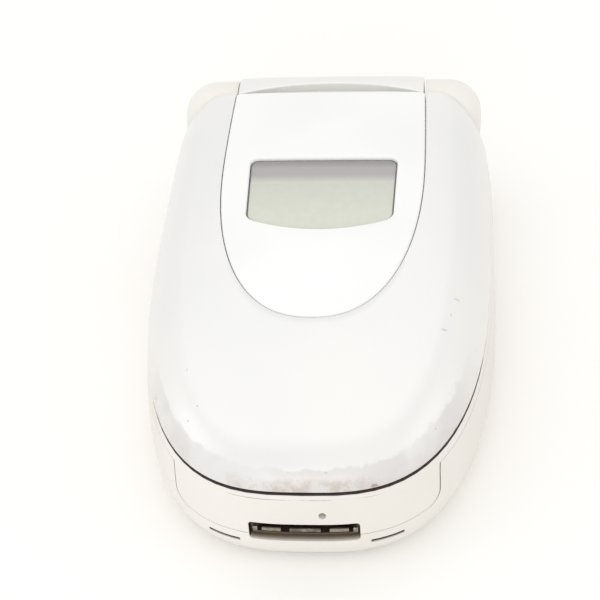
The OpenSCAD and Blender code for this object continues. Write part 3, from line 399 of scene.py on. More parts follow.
def rayDistance(shape, centre, angles):
    # distance from the centre to a closed outline along each angle
    p = shape - centre
    a = np.arctan2(p[:, 1], p[:, 0])
    order = np.argsort(a)
    p, a = p[order], a[order]
    i = np.searchsorted(a, angles) % len(a)
    p1, p0 = p[i], p[i - 1]
    d = p1 - p0
    ray = np.stack([np.cos(angles), np.sin(angles)], axis=1)
    return (p0[:, 0] * d[:, 1] - p0[:, 1] * d[:, 0]) / (ray[:, 0] * d[:, 1] - ray[:, 1] * d[:, 0])


def ringPoints(shape, centre, angles):
    r = rayDistance(shape, centre, angles)
    return np.stack([centre[0] + r * np.cos(angles), centre[1] + r * np.sin(angles)], axis=1)


# lid shell
shell = {
    "halfColumns": 120, "topRows": 15, "rollRows": 30, "pocketEdge": 0.1,
    "reliefRadius": 6.2, "shoulderEnd": 31.1,
    "barrelHalf": 14, "crescentHalf": 13.6, "crescentStart": 31.12, "crescentReach": 2.3,
    "crescentDepth": 1.4, "barrelEdge": 0.15, "webRadius": 6.8, "webEnd": 22.1, "webTopY": 28,
    "webDrop": 0.9, "webReach": 7.8, "barrelFlat": 1.6, "ceiling": 0.3, "lap": 0.02,
}
# the shell's second surface coordinate: the roll's angle in degrees, and marks for its other faces
faceMarks = {"top": 90, "lip": 0, "wall": -20, "inside": -40}


def reliefEnd(z):
    # where the lid stops before the hinge: the knuckles' relief, and the shoulders' straight end
    rise = z - hinge["z"]
    onCircle = hinge["y"] - np.sqrt(np.maximum(shell["reliefRadius"] ** 2 - rise ** 2, 0))
    return np.where(rise > 0, np.minimum(onCircle, shell["shoulderEnd"]), onCircle)


def halfRing(inset, heightOf, count):
    # right half of one ring of the lid, from the front to where it meets the relief
    q = np.linspace(0, 1, 500)
    swing = pi / 2 * q ** 4 / (q ** 4 + (1 - q) ** 4)
    t = np.concatenate([-pi / 2 + swing, swing[1:]])
    x, y = rimPoint(t, inset)
    past = y - reliefEnd(heightOf(x, y))
    last = int(np.argmax(past > 0))
    share = -past[last - 1] / (past[last] - past[last - 1])
    path = np.stack([x, y], axis=1)
    endPoint = path[last - 1] + share * (path[last] - path[last - 1])
    plan = alongPath(np.concatenate([path[:last], [endPoint]]), count)
    return np.column_stack([plan, heightOf(plan[:, 0], plan[:, 1])])


def lidShellIslands():
    # ring between the insert's pocket and the rim, lofted row by row: pocket wall, crowned top,
    # quarter-round roll, lip, underside, inner wall and inner face
    form = lidForm
    count = shell["halfColumns"] + 1
    pocket = bowlSide(insertForm["seam"])
    pocket = pocket[pocket[:, 1] < shell["shoulderEnd"]]
    pocket = np.concatenate([pocket, [[pocket[-1, 0], shell["shoulderEnd"]]]])
    a = alongPath(pocket, count)
    flat = form["rimInset"] + form["roll"]
    top = halfRing(flat, lidHeight, count)
    b = top[:, :2]
    gap = np.linalg.norm(b - a, axis=1, keepdims=True)
    outward = (b - a) / gap
    e = shell["pocketEdge"]

    def lifted(plan, drop):
        return np.column_stack([plan, lidHeight(plan[:, 0], plan[:, 1]) - drop])

    rows, tags = [], []
    rows += [lifted(a, insertForm["thickness"] + shell["lap"]), lifted(a, e)]
    rows += [lifted(a + outward * e * 0.3, e * 0.3), lifted(a + outward * e, 0)]
    rows += [lifted(a + outward * (e + (gap - e) * w), 0) for w in np.linspace(0, 1, shell["topRows"])[1:]]
    tags += [faceMarks["top"]] * len(rows)
    for f in np.linspace(90, 6, shell["rollRows"])[1:]:
        inset = form["rimInset"] + form["roll"] * (1 - cos(radians(f)))
        rows.append(halfRing(inset, lambda x, y: rimHeight(y) + (lidHeight(x, y) - rimHeight(y))
                             * sin(radians(f)), count))
        tags.append(f)
    lipStart = len(rows)
    for inward, rise in quarterRound(form["lip"], form["lip"], (0, 22, 45, 68, 90)):
        rows.append(halfRing(form["rimInset"] + inward, lambda x, y: rimHeight(y) + rise, count))
        tags.append(faceMarks["lip"])
    innerInset = form["rimInset"] + form["wall"]
    rows.append(halfRing(innerInset, lambda x, y: rimHeight(y), count))
    rows.append(halfRing(innerInset, lambda x, y: np.full_like(x, form["innerPlane"]), count))
    tags += [faceMarks["wall"]] * 2
    turning = len(rows)
    for f in (53, 62, 72, 81, 90):
        inset = innerInset + form["roll"] * (1 - cos(radians(f)))
        bend = sin(radians(f))
        rows.append(halfRing(inset, lambda x, y: form["rim"] * (1 - bend)
                             + (lidHeight(x, y) - form["skin"]) * bend, count))
        tags.append(faceMarks["inside"])
    inner = rows[-1][:, :2]
    for w in (0.5, 1):
        rows.append(lifted(inner + (a - inner) * w, form["skin"]))
        tags.append(faceMarks["inside"])
    grid = np.stack(rows)
    mirrored = grid[:, :0:-1] * (-1, 1, 1)
    grid = np.concatenate([mirrored, grid], axis=1)
    rowCount, columnCount = grid.shape[:2]
    points = grid.reshape(-1, 3)
    # surface coordinates: distance along the rim in mm, and the roll's angle
    rim = grid[lipStart + 2]
    length = np.concatenate([[0], np.cumsum(np.linalg.norm(np.diff(rim, axis=0), axis=1))])
    along = np.broadcast_to(length - length[-1] / 2, (rowCount, columnCount))
    angle = np.broadcast_to(np.array(tags, float)[:, None], (rowCount, columnCount))
    uv = np.stack([along, angle], axis=-1).reshape(-1, 2)
    faces = gridFaces(rowCount, columnCount, closeRows=True)
    caps = []
    for column in (0, columnCount - 1):
        outer = np.arange(0, turning) * columnCount + column
        innerRow = (np.arange(turning - 1, rowCount)[::-1]) * columnCount + column
        innerRow = np.concatenate([innerRow[:-1], [outer[-1]]])
        caps.append(zipFaces(outer, innerRow, points))
    return [(points, [faces, *caps], uv)] + [pocketFloor()] + [shoulderWeb(side) for side in (-1, 1)]


def pocketFloor():
    # plate under the insert, round the window's opening
    centre = np.array(insertForm["centre"])
    angles = np.linspace(-pi, pi, 181)[:-1]
    outer = ringPoints(insertOutline(insertForm["seam"] + insertForm["floorLap"]), centre, angles)
    outer[:, 1] = np.minimum(outer[:, 1], insertForm["endY"] + insertForm["seam"])
    inner = ringPoints(windowOutline(-windowForm["ledge"]), centre, angles)
    top, low = insertForm["thickness"] + shell["lap"], lidForm["skin"] - shell["lap"]
    rows = []
    for plan, drop in ((inner, low), (inner, top), (outer, top), (outer, low)):
        rows.append(np.column_stack([plan, lidHeight(plan[:, 0], plan[:, 1]) - drop]))
    points = np.concatenate(rows)
    uv = np.column_stack([points[:, 0], np.full(len(points), float(faceMarks["inside"]))])
    return points, [gridFaces(4, len(angles), closeRows=True, closeColumns=True)], uv


def shoulderWeb(side):
    # solid behind each shoulder, between the inner space and the knuckle's relief
    x = np.linspace(shell["barrelHalf"], shell["webEnd"], 12)[:, None]
    inset = outline["halfWidth"] - x
    f = np.arccos(np.clip(1 - (inset - lidForm["rimInset"]) / lidForm["roll"], 0, 1))
    top = lidForm["rim"] + (lidHeight(x, shell["webTopY"]) - lidForm["rim"]) * np.sin(f) - shell["webDrop"]
    low = lidForm["innerPlane"]
    share = np.linspace(0, 1, 14)[None, :]
    z = low + (top - low) * share
    back = reliefEnd(z) - shell["lap"]
    front = np.full_like(z, hinge["y"] - shell["webReach"])
    y = np.concatenate([back, front[:, ::-1]], axis=1)
    z = np.concatenate([z, z[:, ::-1]], axis=1)
    grid = np.stack([np.broadcast_to(side * x, y.shape), y, z], axis=-1)
    points = grid.reshape(-1, 3)
    rowCount, columnCount = y.shape
    uv = np.column_stack([points[:, 0], np.full(len(points), float(faceMarks["inside"]))])
    return points, [gridFaces(rowCount, columnCount, closeColumns=True), *endCaps(rowCount, columnCount)], uv


def barrelIsland():
    # section swept along the hinge axis: crescent floor, its wall, the top, then round the barrel
    half = shell["barrelHalf"]
    x = half * np.sin(np.linspace(-pi / 2, pi / 2, 81))
    chord, reach = shell["crescentHalf"], shell["crescentReach"]
    radius = (chord ** 2 + reach ** 2) / (2 * reach)
    start = shell["crescentStart"]
    arc = start + reach - radius + np.sqrt(np.maximum(radius ** 2 - x ** 2, 0))
    arc = np.where(np.abs(x) < chord, np.maximum(arc, start + shell["lap"]), start + shell["lap"])
    girth = lidHeight(x, hinge["y"]) - hinge["z"]
    floorZ = lidForm["peak"] - shell["crescentDepth"]
    e = shell["barrelEdge"]

    def topAt(y):
        # height of the barrel's top: the lid's top before the axis, the round barrel behind it
        behind = np.maximum(y - hinge["y"], 0)
        onBarrel = hinge["z"] + np.sqrt(np.maximum(girth ** 2 - behind ** 2, 0))
        return np.where(y > hinge["y"], onBarrel, lidHeight(x, y))

    rows = []

    def add(y, z):
        rows.append(np.column_stack([x, np.broadcast_to(y, x.shape), np.broadcast_to(z, x.shape)]))

    for w in np.linspace(0, 1, 6):
        add(start + (arc - start) * w, floorZ)
    for w in (0.3, 0.6, 1):
        add(arc, floorZ + (topAt(arc) - e - floorZ) * w)
    for inward, down in quarterRound(e, e, (30, 60, 90)):
        add(arc + inward, topAt(arc + inward) - down)
    for w in np.linspace(0, 1, 6)[1:]:
        y = arc + e + (np.maximum(hinge["y"] + shell["barrelFlat"], arc + e) - arc - e) * w
        add(y, topAt(y))
    lowest = np.degrees(np.arcsin((hinge["z"] - lidForm["rim"]) / girth)) - 180
    first = np.degrees(np.arccos(shell["barrelFlat"] / girth))
    for w in np.linspace(0, 1, 49)[1:]:
        a = np.radians(first + (lowest - first) * w)
        add(hinge["y"] + girth * np.cos(a), hinge["z"] + girth * np.sin(a))
    web = shell["webRadius"]
    for z in np.linspace(lidForm["rim"], lidForm["innerPlane"], 4):
        add(hinge["y"] - np.sqrt(web ** 2 - (z - hinge["z"]) ** 2), z)
    ceiling = lidForm["peak"] - lidForm["skin"] - shell["ceiling"]
    add(hinge["y"] - web, lidForm["innerPlane"] + 2)
    add(hinge["y"] - web, ceiling)
    add(start - 0.4, ceiling)
    grid = np.stack(rows, axis=1)
    points = grid.reshape(-1, 3)
    rowCount, columnCount = grid.shape[:2]
    uv = np.column_stack([points[:, 0], np.full(len(points), float(faceMarks["top"]))])
    return points, [gridFaces(rowCount, columnCount, closeColumns=True), *endCaps(rowCount, columnCount)], uv


# insert and window
def lidPlateIsland(outerAt, innerAt, angles, centre, top, low, edge):
    # plate that follows the lid's top between two outlines, with a rounded edge on both
    def row(plan, lift):
        return np.column_stack([plan, lidHeight(plan[:, 0], plan[:, 1]) + lift])

    edgeSteps = quarterRound(edge, edge, (0, 20, 40, 60, 75, 90))
    outer = [ringPoints(outerAt(-inward), centre, angles) for inward, down in edgeSteps]
    rows = [row(outer[0], low)] + [row(plan, top - down) for plan, (inward, down) in zip(outer, edgeSteps)]
    if innerAt is None:
        # closed by rings that shrink to the middle, above and below, the first close to the edge
        shares = (0.985, 0.9, 0.75, 0.58, 0.4, 0.22, 0.08)
        rows += [row(centre + (outer[-1] - centre) * s, top) for s in shares]
        under = [row(centre + (outer[0] - centre) * s, low) for s in shares][::-1]
        rows = under + rows
        points = np.concatenate(rows)
        n = len(angles)
        middle = [[*centre, lidHeight(*centre) + low], [*centre, lidHeight(*centre) + top]]
        points = np.concatenate([points, middle])
        ring = np.arange(n)
        lowFan = np.stack([ring, np.roll(ring, -1), np.full(n, len(points) - 2)], axis=1)
        last = (len(rows) - 1) * n
        highFan = np.stack([ring + last, np.roll(ring, -1) + last, np.full(n, len(points) - 1)], axis=1)
        # surface coordinate: 1 at the rim, falling to 0 in the middle of the upper face
        rim = np.concatenate([np.ones(len(points) - 2 - n * len(shares)), np.repeat(shares, n), [1, 0]])
        uv = np.column_stack([rim, rim])
        return points, [gridFaces(len(rows), n, closeColumns=True), lowFan, highFan], uv
    edgeSteps = edgeSteps[::-1]
    inner = [ringPoints(innerAt(inward), centre, angles) for inward, down in edgeSteps]
    rows += [row(outer[-1] + (inner[0] - outer[-1]) * w, top) for w in np.linspace(0, 1, 9)[1:-1]]
    rows += [row(plan, top - down) for plan, (inward, down) in zip(inner, edgeSteps)]
    rows.append(row(inner[-1], low))
    points = np.concatenate(rows)
    return points, [gridFaces(len(rows), len(angles), closeRows=True, closeColumns=True)], None


def plateAngles(centre, *shapes):
    # every angle at which one of the outlines has a point
    found = [np.arctan2(s[:, 1] - centre[1], s[:, 0] - centre[0]) for s in shapes]
    return np.unique(np.round(np.concatenate(found), 4))


print("lid forms are worked out")

# finishes
smoothStep = {"interpolation_type": "SMOOTHSTEP"}
colourMix = {"data_type": "RGBA"}
noiseLow, noiseHigh = 0.3, 0.7  # most of a noise texture's values lie between these
plus, minus, times, over, power, timesPlus, unsigned, below, above = (
    {"operation": word} for word in ("ADD", "SUBTRACT", "MULTIPLY", "DIVIDE", "POWER", "MULTIPLY_ADD",
                                     "ABSOLUTE", "LESS_THAN", "GREATER_THAN"))


def objectPosition(tree):
    # the piece's own position, whole and split in X, Y and Z, in metres
    place = addNode(tree, "TexCoord").outputs["Object"]
    return place, addNode(tree, "SeparateXYZ", inputs={0: place}).outputs


pearlLacquer = {
    "base": "#ecebe9", "cool": "#e6e6e7", "warm": "#efede9", "worn": "#dedbd9", "grimeAndGapShade": "#c9bdb1",
    "chip": "#a99d93",
    "metallic": 0.3, "roughness": 0.36, "coat": 0.35, "coatRoughness": 0.2,
    # patterns per metre: clouds of 26 mm, ragged edges and chips of 2.4 mm, thin places of 7 mm, and
    # flakes, which are about 0.03 mm, drawn at 0.1 mm so that they show
    "cloudScale": 38, "patchScale": 420, "chipScale": 420, "thinScale": 150, "flakeScale": 9000,
    # the roll's angle where the worn band with painted shade and the grime with painted gap shade start and
    # where they are full, in degrees
    "bandAngles": (45, 39), "grimeAndShadeAngles": (34, 22), "ragged": 26,
    # where the wear and the painted shade set in along the phone, and how far from its middle the grime and
    # the painted gap shade reach, in mm
    "wearAndShadeY": (-16, -30), "grimeAndShadeX": (12, 4),
    # knocks: middle and half sizes in mm
    "knocks": (((-13.5, -29.8, 17.8), (0.2, 0.16, 0.5)), ((-14.6, -31.4, 16.8), (0.16, 0.16, 0.5)),
               ((-15.4, -24.2, 18.6), (0.14, 0.3, 0.5)), ((19, -11.7, 19.4), (0.55, 0.14, 0.5)),
               ((17.4, -17.3, 19.2), (0.5, 0.22, 0.5)), ((18.2, -14.6, 19.3), (0.12, 0.3, 0.5))),
    "knockShare": 0.4, "knockReach": (1.85, 1.45), "knockRagged": 1.6,
    # parts of the noise values that give cloud, patches, thin places and chips
    "cloudSpan": (0.35, 0.65), "patchSpan": (0.42, 0.62), "thinSpan": (0.32, 0.55),
    "chipSpan": (0.66, 0.69), "thinLeast": 0.35, "grimeAndShadeShares": (0.15, 0.8),
    # strength, and height in mm
    "flakeBump": (0.04, 0.02), "chipBump": (0.6, 0.04),
}


def makePearlLacquer(values):
    # silver pearl lacquer sprayed on ABS, worn through at the front crest, with painted shade low on the
    # roll
    # and under the lip: soft wide highlights, fine flakes, warm grey chips
    material, tree, surface = startMaterial("pearlLacquerOnAbs")
    place, (x, y, z) = objectPosition(tree)
    rollMap = addNode(tree, "UVMap", {"uv_map": "surface"})
    rollAngle = addNode(tree, "SeparateXYZ", inputs={0: rollMap}).outputs[1]
    cloud = addNode(tree, "TexNoise", inputs={"Vector": place, "Scale": values["cloudScale"], "Detail": 3})
    start, full = values["cloudSpan"]
    share = addNode(tree, "MapRange", smoothStep, {0: cloud, 1: start, 2: full})
    tint = addNode(tree, "Mix", colourMix,
                   {0: share, 6: linear(values["cool"]), 7: linear(values["warm"])})
    tint = addNode(tree, "Mix", colourMix, {0: 0.5, 6: linear(values["base"]), 7: tint})

    # worn band and painted shade: darker and dull low on the roll, with a ragged upper edge near the front
    patch = addNode(tree, "TexNoise", inputs={"Vector": place, "Scale": values["patchScale"], "Detail": 5,
                                              "Roughness": 0.65})
    ragged = addNode(tree, "Math", timesPlus, {0: patch, 1: values["ragged"], 2: -values["ragged"] / 2})
    height = addNode(tree, "Math", plus, {0: rollAngle, 1: ragged})
    start, full = values["wearAndShadeY"]
    front = addNode(tree, "MapRange", smoothStep, {0: y, 1: start * millimetre, 2: full * millimetre})
    start, full = values["bandAngles"]
    band = addNode(tree, "MapRange", smoothStep, {0: height, 1: start, 2: full})
    band = addNode(tree, "Math", times, {0: band, 1: front})
    thin = addNode(tree, "TexNoise", inputs={"Vector": place, "Scale": values["thinScale"], "Detail": 2})
    start, full = values["thinSpan"]
    thin = addNode(tree, "MapRange", smoothStep, {0: thin, 1: start, 2: full, 3: values["thinLeast"], 4: 1})
    band = addNode(tree, "Math", times, {0: band, 1: thin})
    # painted shade: the band's greyer colour darkens the low roll as shade would, along with the wear
    tint = addNode(tree, "Mix", colourMix, {0: band, 6: tint, 7: linear(values["worn"])})

    # brown grime and painted gap shade along the lip and under it, in patches, mostly in the middle
    start, full = values["grimeAndShadeAngles"]
    grimeAndGapShade = addNode(tree, "MapRange", smoothStep, {0: height, 1: start, 2: full})
    start, full = values["patchSpan"]
    patches = addNode(tree, "MapRange", smoothStep, {0: patch, 1: start, 2: full})
    grimeAndGapShade = addNode(tree, "Math", times, {0: grimeAndGapShade, 1: patches})
    grimeAndGapShade = addNode(tree, "Math", times, {0: grimeAndGapShade, 1: front})
    start, full = values["grimeAndShadeX"]
    middle = addNode(tree, "MapRange", smoothStep, {0: addNode(tree, "Math", unsigned, {0: x}),
                                                    1: start * millimetre, 2: full * millimetre})
    start, full = values["grimeAndShadeShares"]
    middle = addNode(tree, "MapRange", smoothStep, {0: middle, 3: start, 4: full})
    grimeAndGapShade = addNode(tree, "Math", times, {0: grimeAndGapShade, 1: middle})
    # painted shade: the grime colour also darkens the lip and the faces under it so that the gap looks dark
    tint = addNode(tree, "Mix", colourMix, {0: grimeAndGapShade, 6: tint, 7: linear(values["grimeAndGapShade"])})

    # chips in the worn band, and knocks on the lid, each an ellipsoid with a ragged edge
    specks = addNode(tree, "TexNoise", inputs={"Vector": place, "Scale": values["chipScale"], "Detail": 4})
    start, full = values["chipSpan"]
    chips = addNode(tree, "MapRange", smoothStep, {0: specks, 1: start, 2: full})
    chips = addNode(tree, "Math", times, {0: chips, 1: band})
    tint = addNode(tree, "Mix", colourMix, {0: chips, 6: tint, 7: linear(values["chip"])})
    start, full = values["knockReach"]
    for centre, radii in values["knocks"]:
        offset = addNode(tree, "VectorMath", minus, {0: place, 1: [v * millimetre for v in centre]})
        offset = addNode(tree, "VectorMath", over, {0: offset, 1: [r * millimetre for r in radii]})
        reach = addNode(tree, "VectorMath", {"operation": "LENGTH"}, {0: offset}).outputs["Value"]
        reach = addNode(tree, "Math", timesPlus, {0: specks, 1: values["knockRagged"], 2: reach})
        share = addNode(tree, "MapRange", smoothStep,
                        {0: reach, 1: start, 2: full, 4: values["knockShare"]})
        tint = addNode(tree, "Mix", colourMix, {0: share, 6: tint, 7: linear(values["chip"])})

    # the worn band, darkened with painted shade, shows the plain plastic, so it isn't metallic
    metal = values["metallic"]
    shine = addNode(tree, "Math", minus, {0: metal, 1: band})
    shine = addNode(tree, "MapRange", smoothStep, {0: shine, 2: metal, 4: metal})
    rough = addNode(tree, "MapRange", smoothStep,
                    {0: cloud, 1: noiseLow, 2: noiseHigh, 3: values["roughness"] - 0.03,
                     4: values["roughness"] + 0.05})
    flakes = addNode(tree, "TexVoronoi", inputs={"Vector": place, "Scale": values["flakeScale"]})
    strength, depth = values["flakeBump"]
    bump = addNode(tree, "Bump",
                   inputs={"Height": flakes, "Strength": strength, "Distance": depth * millimetre})
    strength, depth = values["chipBump"]
    bump = addNode(tree, "Bump", {"invert": True},
                   {"Height": chips, "Strength": strength, "Distance": depth * millimetre, "Normal": bump})
    fillInputs(tree, surface, {"Base Color": tint, "Metallic": shine, "Roughness": rough, "Normal": bump,
                               "Coat Weight": values["coat"], "Coat Roughness": values["coatRoughness"]})
    return material


# colour drift per metre, which is over 17 mm, and the grain's depth in mm
moulding = {"driftScale": 60, "grainDepth": 0.05, "index": 1.53}
mouldedFinishes = {
    # name: colour, second colour, roughness, grain per metre, grain strength; spark-eroded grain is
    # about 0.05 mm, drawn at 0.2 mm and more so that it shows
    "glossWhiteAbs": ("#f8f8f7", "#f4f4f2", 0.14, 300, 0.01),
    "pearlAbs": ("#e6e5e4", "#e0e0e1", 0.3, 5200, 0.03),
    "warmWhiteAbs": ("#eeebe5", "#e9e5de", 0.34, 5200, 0.05),
    "keyPolycarbonate": ("#d3d4d5", "#cbcdd0", 0.26, 2600, 0.02),
    "greenKeyMark": ("#2f8f4e", "#2b8548", 0.4, 2600, 0.02),
    "redKeyMark": ("#b3372f", "#a8322b", 0.4, 2600, 0.02),
    "printedDigit": ("#3c3d42", "#45464b", 0.5, 2600, 0.02),
    "darkNylon": ("#241d19", "#1b1613", 0.5, 3800, 0.12),
    "socketNylon": ("#4f3e32", "#413227", 0.45, 3800, 0.1),
    "dustFelt": ("#dbd8d1", "#d3cfc8", 0.9, 2400, 0.2),
    "softRubber": ("#b9b7b2", "#afada8", 0.75, 2400, 0.1),
    "boardLaminate": ("#1d5a33", "#184d2c", 0.45, 1800, 0.08),
    "polyimideFlex": ("#a8622a", "#9a5723", 0.35, 1500, 0.05),
    "polyesterSheet": ("#cfccbb", "#c6c3b2", 0.4, 1500, 0.03),
    "batteryLabelFilm": ("#3a3c40", "#34363a", 0.4, 1200, 0.03),
}
metalFinishes = {
    # name: colour, roughness, grain per metre
    "plainSteel": ("#a9a9ab", 0.3, 1400),
    "latchSteel": ("#c9c4ba", 0.45, 1400),
    "ringPlating": ("#d3d3d4", 0.28, 3000),
    "goldPlating": ("#c9a25a", 0.26, 1600),
}


def startMoulded(name, first, second, roughness, grain, strength):
    # injection moulded plastic: slight colour drift, fine spark-eroded grain, soft gloss
    material, tree, surface = startMaterial(name)
    place, parts = objectPosition(tree)
    drift = addNode(tree, "TexNoise",
                    inputs={"Vector": place, "Scale": moulding["driftScale"], "Detail": 2})
    share = addNode(tree, "MapRange", smoothStep, {0: drift, 1: noiseLow, 2: noiseHigh})
    tint = addNode(tree, "Mix", colourMix, {0: share, 6: linear(first), 7: linear(second)})
    rough = addNode(tree, "MapRange", smoothStep, {0: drift, 1: noiseLow, 2: noiseHigh,
                                                   3: roughness - 0.02, 4: roughness + 0.03})
    skin = addNode(tree, "TexNoise", inputs={"Vector": place, "Scale": grain, "Detail": 2})
    bump = addNode(tree, "Bump",
                   inputs={"Height": skin, "Strength": strength,
                           "Distance": moulding["grainDepth"] * millimetre})
    fillInputs(tree, surface, {"Base Color": tint, "Roughness": rough, "Normal": bump,
                               "IOR": moulding["index"]})
    return material, surface, place, parts, drift, tint


shellColourAndShade = {
    "moulded": ("#f1eee8", "#ece8e1", 0.34, 5200, 0.05),
    # hollow and floor: painted shade inside the socket and the slots; gap: painted shade on the deck's edge
    # under the lid
    "hollow": "#33231a", "floor": "#54402f", "gap": "#54494b", "line": "#a39486",
    # sill: painted highlight at the socket's edge, fading to painted shade deeper in
    "sill": ("#ddd7ca", "#b3a993", "#7a6855"),
    # heights in mm: the socket and the slots, the socket's sill, the deck's edge, the fine line
    "hollowZ": (3.75, 7.8), "sillHeight": 4.85, "edgeZ": (12.23, 12.27), "lineHeight": 11.58,
    "lineHalf": 0.05,
    # depths inside the skin in mm: where the hollow starts, and the sill's light and dark ends
    "skin": (0.15, 0.3), "sillDepth": (0.1, 0.95), "sillHalf": 7.2,
    # the painted shade ring's width, at its rear end and at the front, the places of both, and where it
    # stops
    "ringWidth": (0, 2), "ringY": (4, -36), "ringStop": 0,
    "frontY": (0, -20), "lineX": (12, 7), "patchScale": 260,
}


def skinDepth(tree, x, y, z):
    # distance inside the front outline, in mm: what is left of the two powers, times the half width
    # or the reach over its power, in the share that each power has
    powerX, powerY = outline["frontPowers"]
    partX = addNode(tree, "Math", over, {0: x, 1: outline["halfWidth"] * millimetre})
    partX = addNode(tree, "Math", power, {0: addNode(tree, "Math", unsigned, {0: partX}), 1: powerX})
    partY = addNode(tree, "Math", minus, {0: y, 1: outline["widestY"] * millimetre})
    partY = addNode(tree, "Math", over, {0: partY, 1: outline["frontReach"] * millimetre})
    partY = addNode(tree, "Math", power, {0: addNode(tree, "Math", unsigned, {0: partY}), 1: powerY})
    whole = addNode(tree, "Math", plus, {0: partX, 1: partY})
    share = addNode(tree, "Math", over, {0: partX, 1: whole})
    step = addNode(tree, "MapRange", inputs={0: share, 3: outline["frontReach"] / powerY,
                                             4: outline["halfWidth"] / powerX})
    left = addNode(tree, "Math", minus, {0: 1.0, 1: whole})
    inset = addNode(tree, "Math", times, {0: left, 1: step})
    # the skin leans in towards the rim, by the square of the height above the belly
    rise = addNode(tree, "MapRange", inputs={0: z, 1: baseForm["bellyHeight"] * millimetre,
                                             2: baseForm["height"] * millimetre})
    lean = addNode(tree, "Math", power, {0: rise, 1: 2.0})
    lean = addNode(tree, "Math", times, {0: lean, 1: baseForm["rimInset"]})
    return inset, addNode(tree, "Math", minus, {0: inset, 1: lean})


def makeBaseShell(values):
    # warm white moulded ABS; painted shade, dark brown, in the slots and the socket, a painted highlight on
    # the socket's sill, painted shade on the deck's edge under the lid, and a fine brown-grey line below the
    # rim
    material, surface, place, parts, drift, tint = startMoulded("warmWhiteAbsShell", *values["moulded"])
    tree = material.node_tree
    x, y, z = parts
    inset, depth = skinDepth(tree, x, y, z)
    fromMiddle = addNode(tree, "Math", unsigned, {0: x})
    start, full = values["frontY"]
    front = addNode(tree, "MapRange", smoothStep, {0: y, 1: start * millimetre, 2: full * millimetre})

    # painted shade inside the socket and the slots, dark brown, with a painted highlight on the sill:
    # beige at its edge, fading to painted shade, brown, where the connector starts
    low, high = values["hollowZ"]
    hollow = addNode(tree, "Math", times, {0: addNode(tree, "Math", above, {0: z, 1: low * millimetre}),
                                           1: addNode(tree, "Math", below, {0: z, 1: high * millimetre})})
    start, full = values["skin"]
    inSkin = addNode(tree, "MapRange", smoothStep, {0: depth, 1: start, 2: full})
    hollow = addNode(tree, "Math", times, {0: inSkin, 1: hollow})
    hollow = addNode(tree, "Math", times, {0: hollow, 1: front})
    share = addNode(tree, "MapRange", smoothStep, {0: drift, 1: 0.4, 2: 0.6})
    inner = addNode(tree, "Mix", colourMix,
                    {0: share, 6: linear(values["hollow"]), 7: linear(values["floor"])})
    start, full = values["sillDepth"]
    sill = addNode(tree, "ValToRGB",
                   inputs={0: addNode(tree, "MapRange", smoothStep, {0: depth, 1: start, 2: full})})
    rampStops(sill, zip((0, 0.4, 1), values["sill"]))
    onSill = addNode(tree, "Math", times,
                     {0: addNode(tree, "Math", below, {0: z, 1: values["sillHeight"] * millimetre}),
                      1: addNode(tree, "Math", below, {0: fromMiddle, 1: values["sillHalf"] * millimetre})})
    inner = addNode(tree, "Mix", colourMix, {0: onSill, 6: inner, 7: sill})
    # painted shade in the hollows, and the sill's painted highlight
    tint = addNode(tree, "Mix", colourMix, {0: hollow, 6: tint, 7: inner})

    # painted shade: the dark ring on the deck's edge, under the lid's lip, is widest at the front and runs
    # out at the sides
    start, full = values["ringY"]
    width = addNode(tree, "MapRange", inputs={0: y, 1: start * millimetre, 2: full * millimetre,
                                              3: values["ringWidth"][0], 4: values["ringWidth"][1]})
    start, full = values["edgeZ"]
    edge = addNode(tree, "MapRange", smoothStep, {0: z, 1: start * millimetre, 2: full * millimetre})
    edge = addNode(tree, "Math", times, {0: edge, 1: addNode(tree, "Math", below, {0: inset, 1: width})})
    ahead = addNode(tree, "Math", below, {0: y, 1: values["ringStop"] * millimetre})
    edge = addNode(tree, "Math", times, {0: edge, 1: ahead})
    # painted shade: the gap colour stands in for the shade in the gap under the lid
    tint = addNode(tree, "Mix", colourMix, {0: edge, 6: tint, 7: linear(values["gap"])})

    # broken fine line below the rim, in the middle of the front
    offLine = addNode(tree, "Math", minus, {0: z, 1: values["lineHeight"] * millimetre})
    offLine = addNode(tree, "Math", unsigned, {0: offLine})
    line = addNode(tree, "Math", below, {0: offLine, 1: values["lineHalf"] * millimetre})
    patch = addNode(tree, "TexNoise", inputs={"Vector": place, "Scale": values["patchScale"], "Detail": 3})
    patch = addNode(tree, "MapRange", smoothStep, {0: patch, 1: 0.35, 2: 0.6, 4: 0.8})
    line = addNode(tree, "Math", times, {0: line, 1: patch})
    start, full = values["lineX"]
    middle = addNode(tree, "MapRange", smoothStep,
                     {0: fromMiddle, 1: start * millimetre, 2: full * millimetre})
    line = addNode(tree, "Math", times, {0: line, 1: middle})
    line = addNode(tree, "Math", times, {0: line, 1: front})
    tint = addNode(tree, "Mix", colourMix, {0: line, 6: tint, 7: linear(values["line"])})
    fillInputs(tree, surface, {"Base Color": tint})
    return material


tongueLook = {
    # edge: painted highlight along the tongue's front edge
    "inner": "#2a1d15", "edge": "#a89b8a", "roughness": 0.4, "highlightBreakScale": 900,
    # the front edge in mm: the tongue's front at the middle, the edge's width; the bend is per metre
    "front": -39.42, "edgeWidth": 0.2, "bend": 6.6,
}


